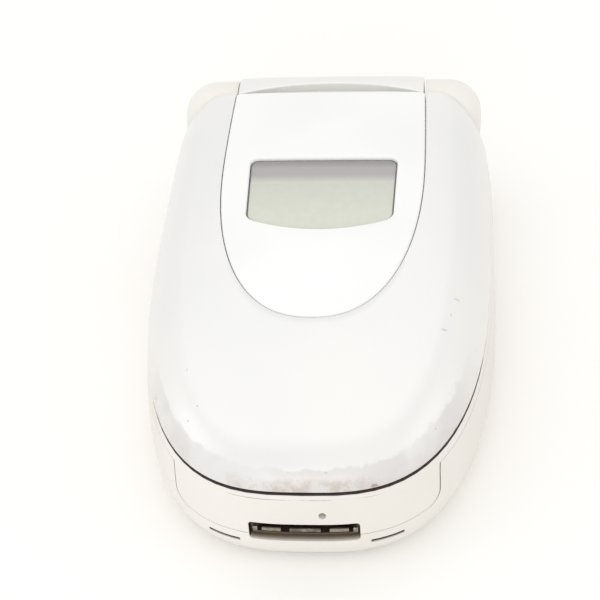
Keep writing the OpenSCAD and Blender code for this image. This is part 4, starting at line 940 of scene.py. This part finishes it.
def makeTongue(values):
    # dark glass-filled nylon with a painted highlight, pale, along the front edge, which bends back
    # towards the sides by a share of x squared
    material, tree, surface = startMaterial("nylonWithPaintedHighlight")
    place, (x, y, z) = objectPosition(tree)
    square = addNode(tree, "Math", times, {0: x, 1: x})
    bend = addNode(tree, "Math", timesPlus, {0: square, 1: -values["bend"], 2: y})
    width = values["edgeWidth"]
    edge = addNode(tree, "MapRange", smoothStep, {0: bend, 1: (values["front"] + 2 * width) * millimetre,
                                                  2: (values["front"] + width) * millimetre})
    highlightBreaks = addNode(tree, "TexNoise", inputs={"Vector": place, "Scale": values["highlightBreakScale"], "Detail": 2})
    highlightBreaks = addNode(tree, "MapRange", smoothStep, {0: highlightBreaks, 1: 0.35, 2: 0.6, 3: 0.35, 4: 1})
    edge = addNode(tree, "Math", times, {0: edge, 1: highlightBreaks})
    # painted highlight: the pale front edge stands in for light caught on the tongue's bevel
    tint = addNode(tree, "Mix", colourMix, {0: edge, 6: linear(values["inner"]), 7: linear(values["edge"])})
    fillInputs(tree, surface, {"Base Color": tint, "Roughness": values["roughness"]})
    return material


# streaks twelve times as long as wide, which are under 0.1 mm, drawn at 0.3 to 0.7 mm so that they
# show; bump: strength, and height in mm
brushing = {
    "stretch": (0.08, 1, 1), "streak": "#8e8b86", "share": 0.25, "rougher": 0.12, "bump": (0.08, 0.03),
}


def makeMetalFinish(name, values):
    # pressed sheet or turned metal: fine brushed streaks along X, with darker grey in them
    colour, roughness, grain = values
    material, tree, surface = startMaterial(name)
    place, _ = objectPosition(tree)
    stretched = addNode(tree, "Mapping", inputs={"Vector": place, "Scale": brushing["stretch"]})
    streak = addNode(tree, "TexNoise", inputs={"Vector": stretched, "Scale": grain, "Detail": 3})
    share = addNode(tree, "MapRange", smoothStep,
                    {0: streak, 1: noiseLow, 2: noiseHigh, 4: brushing["share"]})
    tint = addNode(tree, "Mix", colourMix, {0: share, 6: linear(colour), 7: linear(brushing["streak"])})
    rough = addNode(tree, "MapRange", smoothStep, {0: streak, 1: noiseLow, 2: noiseHigh, 3: roughness,
                                                   4: roughness + brushing["rougher"]})
    strength, depth = brushing["bump"]
    bump = addNode(tree, "Bump",
                   inputs={"Height": streak, "Strength": strength, "Distance": depth * millimetre})
    fillInputs(tree, surface, {"Base Color": tint, "Metallic": 1, "Roughness": rough, "Normal": bump})
    return material


acrylicIndex = 1.49
lensLook = {
    "lit": "#d6d7c9", "middle": "#cbccc0", "shade": "#a9a4a4", "edge": "#8b8686", "border": "#67615c",
    "dots": "#9a9b8e", "dotScale": 900, "dotShare": 0.06, "roughness": 0.35, "coatRoughness": 0.09,
    "topY": 15.1, "lowY": 1.0, "stops": (0, 0.04, 0.13, 0.27, 1), "borderShare": (0.984, 0.99),
}


def makeLens(values):
    # clear acrylic over a reflective display: pale green-grey, with the shade of the frame along
    # its upper edge and a fine dark border
    material, tree, surface = startMaterial("clearAcrylicOverDisplay")
    place, (x, y, z) = objectPosition(tree)
    down = addNode(tree, "MapRange", smoothStep, {0: y, 1: values["topY"] * millimetre,
                                                  2: values["lowY"] * millimetre})
    names = ("edge", "shade", "shade", "middle", "lit")
    ramp = rampStops(addNode(tree, "ValToRGB", inputs={0: down}),
                     zip(values["stops"], [values[name] for name in names]))
    dots = addNode(tree, "TexNoise", inputs={"Vector": place, "Scale": values["dotScale"], "Detail": 2})
    share = addNode(tree, "MapRange", smoothStep,
                    {0: dots, 1: noiseLow, 2: noiseHigh, 4: values["dotShare"]})
    tint = addNode(tree, "Mix", colourMix, {0: share, 6: ramp, 7: linear(values["dots"])})
    rimMap = addNode(tree, "UVMap", {"uv_map": "surface"})
    toRim = addNode(tree, "SeparateXYZ", inputs={0: rimMap})
    start, full = values["borderShare"]
    share = addNode(tree, "MapRange", smoothStep, {0: toRim, 1: start, 2: full})
    tint = addNode(tree, "Mix", colourMix, {0: share, 6: tint, 7: linear(values["border"])})
    fillInputs(tree, surface, {"Base Color": tint, "Roughness": values["roughness"], "IOR": acrylicIndex,
                               "Coat Weight": 1, "Coat Roughness": values["coatRoughness"]})
    return material


darkGlass = {
    "frame": "#0b0b0d", "field": "#2a2e33", "margin": 3.5, "fade": 0.1,  # mm
    "dustScale": 700, "roughness": (0.05, 0.11),
}


def makeDarkGlass(values):
    # smoked acrylic window over the inner display: the display's field is a little lighter
    material, tree, surface = startMaterial("smokedAcrylic")
    place, (x, y, z) = objectPosition(tree)
    low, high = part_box("inner_window")
    share = None
    for value, a, b in ((x, low.x, high.x), (y, low.y, high.y)):
        for end, inward in ((a, 1), (b, -1)):
            start = end + inward * values["margin"] * millimetre
            inside = addNode(tree, "MapRange", smoothStep,
                             {0: value, 1: start, 2: start + inward * values["fade"] * millimetre})
            share = addNode(tree, "Math", times, {0: share, 1: inside}) if share else inside
    tint = addNode(tree, "Mix", colourMix,
                   {0: share, 6: linear(values["frame"]), 7: linear(values["field"])})
    dust = addNode(tree, "TexNoise", inputs={"Vector": place, "Scale": values["dustScale"], "Detail": 2})
    clean, dusty = values["roughness"]
    rough = addNode(tree, "MapRange", smoothStep, {0: dust, 1: noiseLow, 2: noiseHigh, 3: clean, 4: dusty})
    fillInputs(tree, surface, {"Base Color": tint, "Roughness": rough, "IOR": acrylicIndex})
    return material


finishes = {name: startMoulded(name, *values)[0] for name, values in mouldedFinishes.items()}
finishes.update({name: makeMetalFinish(name, values) for name, values in metalFinishes.items()})
finishes["pearlLacquerOnAbs"] = makePearlLacquer(pearlLacquer)
finishes["clearAcrylicOverDisplay"] = makeLens(lensLook)
finishes["smokedAcrylic"] = makeDarkGlass(darkGlass)
finishes["nylonWithPaintedHighlight"] = makeTongue(tongueLook)
finishes["warmWhiteAbsShell"] = makeBaseShell(shellColourAndShade)
print("finishes:", len(finishes))

# lid pieces
buildPiece("lidShell", lidShellIslands() + [barrelIsland()], finishes["pearlLacquerOnAbs"], "lid",
           ["lid_outer_housing"], 38)
plateCentre = np.array(insertForm["centre"])
windowPlan = windowOutline(0)
insertAngles = plateAngles(plateCentre, insertOutline(0), windowPlan)
insertIsland = lidPlateIsland(insertOutline, windowOutline, insertAngles, plateCentre,
                              insertForm["proud"], -insertForm["thickness"], insertForm["edge"])
buildPiece("insertPlate", [insertIsland], finishes["glossWhiteAbs"], "lid", ["lid_insert"],
           50)
lensIsland = lidPlateIsland(lambda grow: windowOutline(grow - windowForm["play"]), None,
                            plateAngles(plateCentre, windowPlan), plateCentre,
                            insertForm["proud"] - windowForm["depth"],
                            insertForm["proud"] - insertForm["thickness"], windowForm["edge"])
buildPiece("windowLens", [lensIsland], finishes["clearAcrylicOverDisplay"], "lid", ["outer_window"],
           50)
print("lid pieces are built")


# base pieces: the CAD solids with their skin drawn onto the smooth form
knuckle = {"start": 14.25, "length": 8.4, "radius": 5.9, "round": 5, "draw": 4.8}
smoothing = {
    "longest": 1.3, "reach": 0.13, "weld": 0.002,  # mm
    "rounds": 5, "stray": 0.97, "along": 0.94, "sharpAngle": 30,
}


def onBaseForm(p):
    # nearest point of the base's skin along a ray from its middle line, its normal and its distance
    x, y, z = p.T
    rise = np.clip((z - baseForm["bellyHeight"]) / (baseForm["height"] - baseForm["bellyHeight"]), 0, 1)
    f = np.arccos(np.clip(1 - z / baseForm["bellyHeight"], 0, 1))
    inBelly = z < baseForm["bellyHeight"]
    inset = np.where(inBelly, baseForm["bellyInset"] * (1 - np.sin(f)), baseForm["rimInset"] * rise ** 2)
    slope = np.where(inBelly, -baseForm["bellyInset"] * np.cos(f)
                     / np.maximum(baseForm["bellyHeight"] * np.sin(f), 1e-4),
                     2 * baseForm["rimInset"] * rise / (baseForm["height"] - baseForm["bellyHeight"]))
    # the rim's edge is a quarter round
    over = np.clip((z - baseForm["height"]) / baseForm["rimRound"] + 1, 0, 0.999)
    drop = np.sqrt(1 - over ** 2)
    inset = inset + baseForm["rimRound"] * (1 - drop)
    slope = slope + over / drop
    v = y - outline["widestY"]
    front = v < 0
    a = outline["halfWidth"] - inset
    b = np.where(front, outline["frontReach"], outline["rearReach"]) - inset
    m = np.where(front, outline["frontPowers"][0], outline["rearPowers"][0])
    n = np.where(front, outline["frontPowers"][1], outline["rearPowers"][1])
    k = np.ones_like(x)
    for _ in range(12):
        p1, p2 = (np.abs(x) * k / a) ** m, (np.abs(v) * k / b) ** n
        k = k - (p1 + p2 - 1) * k / np.maximum(m * p1 + n * p2, 1e-6)
        k = np.clip(k, 0.2, 5)
    target = np.column_stack([x * k, outline["widestY"] + v * k, z])
    gx = m * (np.abs(target[:, 0]) / a) ** (m - 1) * np.sign(x) / a
    gy = n * (np.abs(target[:, 1] - outline["widestY"]) / b) ** (n - 1) * np.sign(v) / b
    size = np.maximum(np.hypot(gx, gy), 1e-9)
    normal = np.column_stack([gx / size, gy / size, slope])
    normal /= np.linalg.norm(normal, axis=1, keepdims=True)
    return target, normal, np.linalg.norm(target - p, axis=1)


def onKnuckle(p):
    # nearest point of a knuckle's turned skin: its radius falls along an elliptic arc at the outer end
    x, y, z = p.T
    side = np.sign(x)
    end = knuckle["start"] + knuckle["length"]
    share = np.clip((np.abs(x) - end + knuckle["round"]) / knuckle["round"], 0, 1)
    bend = np.arcsin(share)
    radius = knuckle["radius"] - knuckle["draw"] * (1 - np.cos(bend))
    dy, dz = y - hinge["y"], z - hinge["z"]
    r = np.maximum(np.hypot(dy, dz), 1e-6)
    target = np.column_stack([x, hinge["y"] + dy / r * radius, hinge["z"] + dz / r * radius])
    normal = np.column_stack([side * np.sin(bend) * knuckle["draw"] / knuckle["round"],
                              dy / r * np.cos(bend), dz / r * np.cos(bend)])
    normal /= np.linalg.norm(normal, axis=1, keepdims=True)
    beside = (np.abs(x) < knuckle["start"] - 0.01) | (np.abs(x) > end + 0.01)
    return target, normal, np.where(beside, np.inf, np.abs(r - radius))


def smoothCopy(node, name, material, body, forms, cuts=()):
    # merged copy of a CAD solid: long edges on the skin are split, their points are drawn onto the
    # smooth form, and the skin gets the form's own normals
    reach = smoothing["reach"]
    work = bmesh.new()
    work.from_mesh(nodes[node].data)
    bmesh.ops.remove_doubles(work, verts=work.verts, dist=smoothing["weld"] * millimetre)
    for height in cuts:
        bmesh.ops.bisect_plane(work, geom=[*work.verts, *work.edges, *work.faces], dist=1e-6,
                               plane_co=(0, 0, height * millimetre), plane_no=(0, 0, 1))
    bmesh.ops.triangulate(work, faces=[f for f in work.faces if len(f.verts) > 3])

    def skinState(co):
        # target, normal and distance on whichever form is nearest
        best = forms[0](co)
        for form in forms[1:]:
            other = form(co)
            nearer = other[2] < best[2]
            wide = nearer[:, None]
            best = [np.where(pick, new, old) for pick, new, old in zip((wide, wide, nearer), other, best)]
        return best

    for _ in range(smoothing["rounds"]):
        work.verts.index_update()
        co = np.array([v.co[:] for v in work.verts]) / millimetre
        onSkin = skinState(co)[2] < reach
        pairs = np.array([[e.verts[0].index, e.verts[1].index] for e in work.edges])
        long = np.linalg.norm(co[pairs[:, 0]] - co[pairs[:, 1]], axis=1) > smoothing["longest"]
        middle = (co[pairs[:, 0]] + co[pairs[:, 1]]) / 2
        near = onSkin[pairs].all(axis=1) & (skinState(middle)[2] < reach)
        work.edges.ensure_lookup_table()
        chosen = [work.edges[i] for i in np.flatnonzero(long & near)]
        if not chosen:
            break
        bmesh.ops.subdivide_edges(work, edges=chosen, cuts=1, use_single_edge=True)
        bmesh.ops.triangulate(work, faces=[f for f in work.faces if len(f.verts) > 3])
    mesh = bpy.data.meshes.new(name)
    work.to_mesh(mesh)
    work.free()
    co = np.empty(len(mesh.vertices) * 3)
    mesh.vertices.foreach_get("co", co)
    co = co.reshape(-1, 3) / millimetre
    target, normal, distance = skinState(co)
    onSkin = distance < reach
    co[onSkin] = target[onSkin]
    mesh.vertices.foreach_set("co", (co * millimetre).ravel())
    mesh.update()
    finishPiece(name, mesh, material, body, [node], smoothing["sharpAngle"])
    # corners of faces that lie along the skin take the form's normal, all others keep their own
    corner = np.empty(len(mesh.loops), dtype=np.int32)
    mesh.loops.foreach_get("vertex_index", corner)
    faceNormal = np.empty(len(mesh.polygons) * 3)
    mesh.polygons.foreach_get("normal", faceNormal)
    sizes = np.empty(len(mesh.polygons), dtype=np.int32)
    mesh.polygons.foreach_get("loop_total", sizes)
    ofFace = np.repeat(faceNormal.reshape(-1, 3), sizes, axis=0)
    own = np.empty(len(mesh.loops) * 3)
    mesh.corner_normals.foreach_get("vector", own)
    own = own.reshape(-1, 3)
    strays = (own * ofFace).sum(axis=1) < smoothing["stray"]
    own[strays] = ofFace[strays]
    formNormal = normal[corner]
    agrees = onSkin[corner] & ((ofFace * formNormal).sum(axis=1) > smoothing["along"])
    own[agrees] = formNormal[agrees]
    mesh.normals_split_custom_set(own.tolist())


rimCuts = [baseForm["height"] - baseForm["rimRound"] * share for share in (1, 0.62, 0.35, 0.16, 0.05)]
smoothCopy("front_housing", "frontHousing", finishes["warmWhiteAbsShell"], "base",
           [onBaseForm, onKnuckle], rimCuts)
smoothCopy("rear_housing", "rearHousing", finishes["warmWhiteAbsShell"], "base", [onBaseForm])
smoothCopy("battery_cover", "batteryCover", finishes["warmWhiteAbs"], "battery_cover", [onBaseForm])
print("base pieces are drawn smooth")

# socket
def loftLoops(loops):
    # skin over equal closed loops, from the first to the last, with a fan over each end
    n = len(loops[0])
    ends = [np.mean(loop, axis=0)[None] for loop in (loops[0], loops[-1])]
    points = np.concatenate([*loops, *ends])
    ring = np.arange(n)
    last = (len(loops) - 1) * n
    firstFan = np.stack([np.roll(ring, -1), ring, np.full(n, len(points) - 2)], axis=1)
    lastFan = np.stack([ring + last, np.roll(ring, -1) + last, np.full(n, len(points) - 1)], axis=1)
    faces = [gridFaces(len(loops), n, closeColumns=True), firstFan, lastFan]
    return points, faces, np.zeros((len(points), 2))


def roundedPlan(halfX, halfY, corner, arcCount=9, sideCount=7):
    # closed rounded rectangle, anticlockwise, with points along the sides too
    quarter = arcPoints(halfX - corner, halfY - corner, corner, 0, 90, arcCount)
    top = np.stack([np.linspace(halfX - corner, corner - halfX, sideCount)[1:-1],
                    np.full(sideCount - 2, halfY)], axis=1)
    side = np.stack([np.full(sideCount - 2, -halfX),
                     np.linspace(halfY - corner, corner - halfY, sideCount)[1:-1]], axis=1)
    half = np.concatenate([quarter, top, quarter[::-1] * (-1, 1), side])
    return np.concatenate([half, -half])


socket = {
    # the housing's opening, and the connector's sleeve in it, whose mouth lies behind the skin
    "half": 7, "low": 4.7, "high": 7.7, "corner": 0.5, "play": 0.03, "mouth": 1.0, "mouthRound": 0.1,
    "wall": 0.5, "floorWall": 0.3, "rimShare": 0.4, "rimCorner": 0.4, "hollowCorner": 0.3,
    # its body behind the housing's wall
    "sleeveEnd": -37.2, "back": -32.5, "backWall": 0.9, "bodyHalf": 7.9, "bodyLow": 4.3, "bodyHigh": 8.2,
    "bodyCorner": 0.2,
    # the tongues from left to right, and the contacts under them
    "tongues": ((-5.5, -3.1), (-1.95, 1.95), (3.1, 5.5)), "tongueLow": 5.2, "tongueHigh": 5.55,
    "tongueFront": 0.08, "tongueBevel": 0.14, "tongueBack": 0.5,
    "contactStart": 0.45, "contactPitch": 0.55, "contactWidth": 0.28, "contactSpan": (-0.14, 0.1),
    "contactBack": 1.2, "contactMargin": 0.3,
    "latch": 6.35, "latchHalf": 0.28, "latchLow": 5.05, "latchHigh": 5.85, "latchStart": 0.02,
}


def mouthY(x, depth):
    # a depth inside the base's front skin, which bends back towards the sides
    share = np.clip(1 - (np.abs(x) / outline["halfWidth"]) ** outline["frontPowers"][0], 0, 1)
    return outline["widestY"] - outline["frontReach"] * share ** (1 / outline["frontPowers"][1]) + depth


def boxIsland(low, high):
    x, y, z = zip(low, high)
    points = np.array([(a, b, c) for c in z for b in y for a in x], float)
    faces = np.array([(0, 2, 3, 1), (4, 5, 7, 6), (0, 1, 5, 4), (2, 6, 7, 3), (0, 4, 6, 2), (1, 3, 7, 5)])
    return points, [faces], None


def connectorIsland(form):
    # sleeve in the housing's opening, widening to the body behind the wall, with a hollow inside
    def loop(halfX, low, high, corner, yAt):
        plan = roundedPlan(halfX, (high - low) / 2, corner)
        return np.column_stack([plan[:, 0], yAt(plan[:, 0]), plan[:, 1] + (low + high) / 2])

    def inOpening(sideWall, otherWall, corner):
        return form["half"] - sideWall, form["low"] + otherWall, form["high"] - otherWall, corner

    def levelAt(y):
        return lambda x: np.full_like(x, y)

    sleeve = inOpening(form["play"], form["play"], form["corner"])
    rim = inOpening(form["wall"] * form["rimShare"], form["floorWall"] * form["rimShare"], form["rimCorner"])
    hollow = inOpening(form["wall"], form["floorWall"], form["hollowCorner"])
    body = (form["bodyHalf"], form["bodyLow"], form["bodyHigh"], form["bodyCorner"])
    step = form["mouthRound"]
    return loftLoops([
        loop(*body, levelAt(form["back"])),
        loop(*body, levelAt(form["sleeveEnd"])),
        loop(*sleeve, levelAt(form["sleeveEnd"])),
        loop(*sleeve, lambda x: mouthY(x, form["mouth"] + step)),
        loop(*rim, lambda x: mouthY(x, form["mouth"])),
        loop(*hollow, lambda x: mouthY(x, form["mouth"] + 1.5 * step)),
        loop(*hollow, levelAt(form["back"] - form["backWall"])),
    ])


def tongueIsland(form, start, end):
    # plastic tongue over the contacts: its front follows the skin and has a bevelled upper edge
    bevel, top, low = form["tongueBevel"], form["tongueHigh"], form["tongueLow"]
    back = form["back"] - form["tongueBack"]
    loops = []
    for x in np.linspace(start, end, 7):
        front = float(mouthY(x, form["mouth"] + form["tongueFront"]))
        section = [(front + bevel, top), (front, top - bevel), (front, low), (back, low), (back, top)]
        loops.append(np.array([(x, y, z) for y, z in section]))
    return loftLoops(loops)


def contactIslands(form):
    # sprung blades under each tongue
    front, back = mouthY(0, form["mouth"] + form["contactStart"]), form["back"] - form["contactBack"]
    half = form["contactWidth"] / 2
    low, high = (form["tongueLow"] + offset for offset in form["contactSpan"])
    islands = []
    for start, end in form["tongues"]:
        count = int((end - start - form["contactMargin"]) / form["contactPitch"])
        for k in range(count + 1):
            x = (start + end) / 2 + (k - count / 2) * form["contactPitch"]
            islands.append(boxIsland((x - half, front, low), (x + half, back, high)))
    return islands


def latchIslands(form):
    # a steel latch blade at each end of the socket
    back = form["back"] - form["contactBack"]
    islands = []
    for x in (-form["latch"], form["latch"]):
        front = mouthY(x, form["mouth"] + form["latchStart"])
        islands.append(boxIsland((x - form["latchHalf"], front, form["latchLow"]),
                                 (x + form["latchHalf"], back, form["latchHigh"])))
    return islands


tongueIslands = [tongueIsland(socket, *ends) for ends in socket["tongues"]]
buildPiece("socketConnector", [connectorIsland(socket)], finishes["socketNylon"], "base",
           ["system_connector"], 35)
buildPiece("socketContacts", contactIslands(socket), finishes["goldPlating"], "base",
           ["connector_contacts"], 35)
buildPiece("socketTongues", tongueIslands, finishes["nylonWithPaintedHighlight"], "base", (), 35)
buildPiece("socketLatches", latchIslands(socket), finishes["latchSteel"], "base", (), 35)
print("socket is built")

# keys
keyCap = {
    "flange": 0.4, "flangeHeight": 0.5, "corner": 1.4, "edge": 0.5, "edgeDrop": 0.3, "dome": 0.14,
    "edgeAngles": (0, 18, 36, 54, 72, 90),
    "ringEdge": 0.55, "ringDrop": 0.385, "ringHollow": 0.12, "ringGap": 0.15, "boreRound": 0.3,
}
legend = {
    "height": 2.5, "proud": 0.01, "sunk": 0.04, "star": 1.7,
    "markHalf": (1.7, 0.3), "dashHalf": (1.2, 0.16), "backArrow": ((-0.9, 0), (0.4, -0.7), (0.4, 0.7)),
    "ringArrow": ((0.75, 0), (-0.4, 0.75), (-0.4, -0.75)), "ringArrowDepths": (0.16, 0.07),
    "flaggedOne": ((0.06, -1.25), (0.36, -1.25), (0.36, 1.25), (0.12, 1.25), (-0.46, 0.8),
                   (-0.3, 0.56), (0.06, 0.84)),
}


def nodeBox(name):
    # a CAD node's low and high corners in mm
    return [np.array(corner[:]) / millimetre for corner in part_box(name)]


def capHeight(x, y, halfX, halfY, top):
    # cushion top: highest in the middle, falling by the product of two parabolas
    return top - keyCap["dome"] * (1 - (1 - (x / halfX) ** 2) * (1 - (y / halfY) ** 2))


def capIsland(low, high, round_):
    # flange, wall, quarter-round edge and cushion top, inside the CAD key's box
    centre = (low + high) / 2
    halfX, halfY = (high[0] - low[0]) / 2 - keyCap["flange"], (high[1] - low[1]) / 2 - keyCap["flange"]

    def plan(grow):
        if round_:
            return arcPoints(*centre[:2], halfX + grow, 0, 360, 65)[:-1]
        return roundedPlan(halfX + grow, halfY + grow, keyCap["corner"] + grow) + centre[:2]

    def level(shape, z):
        return np.column_stack([shape, np.full(len(shape), z)])

    def topOver(shape):
        x, y = (shape - centre[:2]).T
        return capHeight(x, y, halfX, halfY, high[2])

    wallStart = low[2]
    loops = []
    if not round_:
        wallStart += keyCap["flangeHeight"]
        flange = plan(keyCap["flange"])
        loops += [level(flange, low[2]), level(flange, wallStart)]
    loops.append(level(plan(0), wallStart))
    edgeTop = plan(-keyCap["edge"])
    for inward, down in quarterRound(keyCap["edge"], keyCap["edgeDrop"], keyCap["edgeAngles"]):
        loops.append(np.column_stack([plan(-inward), topOver(edgeTop) - down]))
    for share in (0.85, 0.65, 0.45, 0.25, 0.1):
        shape = centre[:2] + (edgeTop - centre[:2]) * share
        loops.append(np.column_stack([shape, topOver(shape)]))
    return loftLoops(loops), centre, halfX, halfY


def printMark(name, points, faces, centre, halfX, halfY, top, finish, body, slotName):
    # flat print on a key's cushion top: level above, and sunk a little into the cushion
    x, y = points[:, 0], points[:, 1]
    base = capHeight(x, y, halfX, halfY, top)
    upper = np.column_stack([x + centre[0], y + centre[1], np.full(len(points), top + legend["proud"])])
    lower = np.column_stack([x + centre[0], y + centre[1], base - legend["sunk"]])
    mesh = bpy.data.meshes.new(name)
    n = len(points)
    edges = {}
    for face in faces:
        for a, b in zip(face, face[1:] + face[:1]):
            edges[(a, b)] = edges.get((a, b), 0) + 1
    walls = [(b, a, a + n, b + n) for a, b in edges if (b, a) not in edges]
    solid = [tuple(f) for f in faces] + [tuple(v + n for v in f[::-1]) for f in faces] + walls
    mesh.from_pydata(np.concatenate([upper, lower]) * millimetre, [], solid)
    return finishPiece(name, mesh, finish, body, (), 30)


def textShape(text, height):
    # plain digit from the program's own font, as points and faces in mm about its middle; the 1,
    # which has no flag there, is drawn with one
    if text == "1":
        return np.array(legend["flaggedOne"]), [list(range(len(legend["flaggedOne"])))]
    curve = bpy.data.curves.new(text, "FONT")
    curve.body = text
    curve.resolution_u = 6
    holder = bpy.data.objects.new(text, curve)
    scene.collection.objects.link(holder)
    made = bpy.data.meshes.new_from_object(holder.evaluated_get(bpy.context.evaluated_depsgraph_get()))
    bpy.data.objects.remove(holder)
    work = bmesh.new()
    work.from_mesh(made)
    bmesh.ops.remove_doubles(work, verts=work.verts, dist=1e-5)
    points = np.array([v.co[:2] for v in work.verts])
    work.verts.index_update()
    faces = [[v.index for v in f.verts] for f in work.faces]
    if sum(f.calc_area() * f.normal.z for f in work.faces) < 0:
        faces = [f[::-1] for f in faces]
    work.free()
    bpy.data.meshes.remove(made)
    low, high = points.min(axis=0), points.max(axis=0)
    tall = (high[1] - low[1]) * (height / legend["star"] if text == "*" else 1)
    return (points - (low + high) / 2) * height / tall, faces


def pillShape(halfX, halfY):
    outlinePoints = roundedPlan(halfX, halfY, halfY * 0.99)
    return outlinePoints, [list(range(len(outlinePoints)))]


numberKeys = {"key_" + k: k for k in "1234567890"}
numberKeys.update(key_star="*", key_hash="#")
plainKeys = ["soft_key_left", "soft_key_right", "send_key", "end_key", "clear_key"]
for name in [*numberKeys, *plainKeys, "centre_key"]:
    low, high = nodeBox(name)
    island, centre, halfX, halfY = capIsland(low, high, name == "centre_key")
    title = "".join(part.capitalize() for part in name.split("_"))
    buildPiece("cap" + title, [island], finishes["keyPolycarbonate"], name, [name], 40)
    if name in numberKeys:
        shape, finish = textShape(numberKeys[name], legend["height"]), "printedDigit"
    elif name in ("send_key", "end_key"):
        shape = pillShape(*legend["markHalf"])
        finish = "greenKeyMark" if name == "send_key" else "redKeyMark"
    elif name.startswith("soft"):
        shape, finish = pillShape(*legend["dashHalf"]), "printedDigit"
    elif name == "clear_key":
        shape, finish = (np.array(legend["backArrow"]), [[0, 1, 2]]), "printedDigit"
    else:
        continue
    printMark("mark" + title, *shape, centre, halfX, halfY, high[2], finishes[finish], name, "dark_plastic")


def ringIsland(low, high, innerRadius):
    # turned section: flange, wall, rounded shoulder, shallow dish, inner edge and bore
    centre = (low + high) / 2
    outerR = (high[0] - low[0]) / 2 - keyCap["flange"]
    e, top = keyCap["ringEdge"], high[2]
    section = [(innerRadius, low[2]), (outerR + keyCap["flange"], low[2]),
               (outerR + keyCap["flange"], low[2] + keyCap["flangeHeight"]),
               (outerR, low[2] + keyCap["flangeHeight"])]
    section += [(outerR - inward, top - down)
                for inward, down in quarterRound(e, keyCap["ringDrop"], keyCap["edgeAngles"])]
    bore = keyCap["boreRound"]
    for w in (0.2, 0.4, 0.6, 0.8):
        r = outerR - e + (innerRadius + bore - outerR + e) * w
        section.append((r, top - keyCap["ringHollow"] * sin(pi * w)))
    section += [(innerRadius + inward, top - down)
                for inward, down in quarterRound(bore, bore, (90, 60, 30, 0))]
    section = np.array(section)
    a = np.linspace(0, 2 * pi, 97)[:-1]
    points = np.stack([centre[0] + section[:, :1] * np.cos(a), centre[1] + section[:, :1] * np.sin(a),
                       np.broadcast_to(section[:, 1:], (len(section), len(a)))], axis=-1).reshape(-1, 3)
    faces = gridFaces(len(section), len(a), closeRows=True, closeColumns=True)
    return (points, [faces], None), centre, (outerR + innerRadius) / 2


def arrowIslands(centre, radius, top):
    # four flat triangles round the ring, pointing outwards, each with its thickness
    depths = legend["ringArrowDepths"]
    faces = [np.array([(0, 2, 1), (3, 4, 5)]), np.array([(0, 1, 4, 3), (1, 2, 5, 4), (2, 0, 3, 5)])]
    islands = []
    for a in np.arange(4) * pi / 2:
        turn = np.array([[cos(a), sin(a)], [-sin(a), cos(a)]])
        plan = (np.array(legend["ringArrow"]) + (radius, 0)) @ turn + centre[:2]
        points = np.concatenate([np.column_stack([plan, np.full(3, top - depth)]) for depth in depths])
        islands.append((points, faces, None))
    return islands


low, high = nodeBox("navigation_ring")
centreLow, centreHigh = nodeBox("centre_key")
innerRadius = (centreHigh[0] - centreLow[0]) / 2 + keyCap["ringGap"]
island, centre, arrowRadius = ringIsland(low, high, innerRadius)
buildPiece("navigationRing", [island], finishes["ringPlating"], "navigation_ring", ["navigation_ring"],
           40)
buildPiece("ringArrows", arrowIslands(centre, arrowRadius, high[2]), finishes["printedDigit"],
           "navigation_ring", (), 30)
print("keys are built")

# CAD nodes that stay
nodeFinishes = {
    "pearlAbs": ["lid_inner_housing"],
    "smokedAcrylic": ["inner_window"],
    "batteryLabelFilm": ["battery", "inner_display", "outer_display"],
    "boardLaminate": ["lid_board", "main_board"],
    "plainSteel": ["lid_screws", "base_screws", "board_shields", "sim_holder", "vibration_motor",
                   "hinge_shaft", "hinge_bush", "hinge_cartridge", "lid_magnet", "volume_switches",
                   "motor_weight"],
    "dustFelt": ["microphone"],
    "goldPlating": ["battery_contacts", "antenna_plate"],
    "softRubber": ["lid_screw_plugs", "lid_bumpers", "screw_plugs", "test_port_plug"],
    "darkNylon": ["ringer", "earpiece"],
    "polyimideFlex": ["lid_flex"],
    "polyesterSheet": ["dome_sheet", "antenna_carrier"],
    "warmWhiteAbs": ["volume_rocker"],
}
for finish, names in nodeFinishes.items():
    for name in names:
        mesh = nodes[name].data
        if not mesh.materials:
            mesh.materials.append(None)
        for holder in nodes[name].material_slots:
            holder.material = finishes[finish]
print("nodes are dressed")
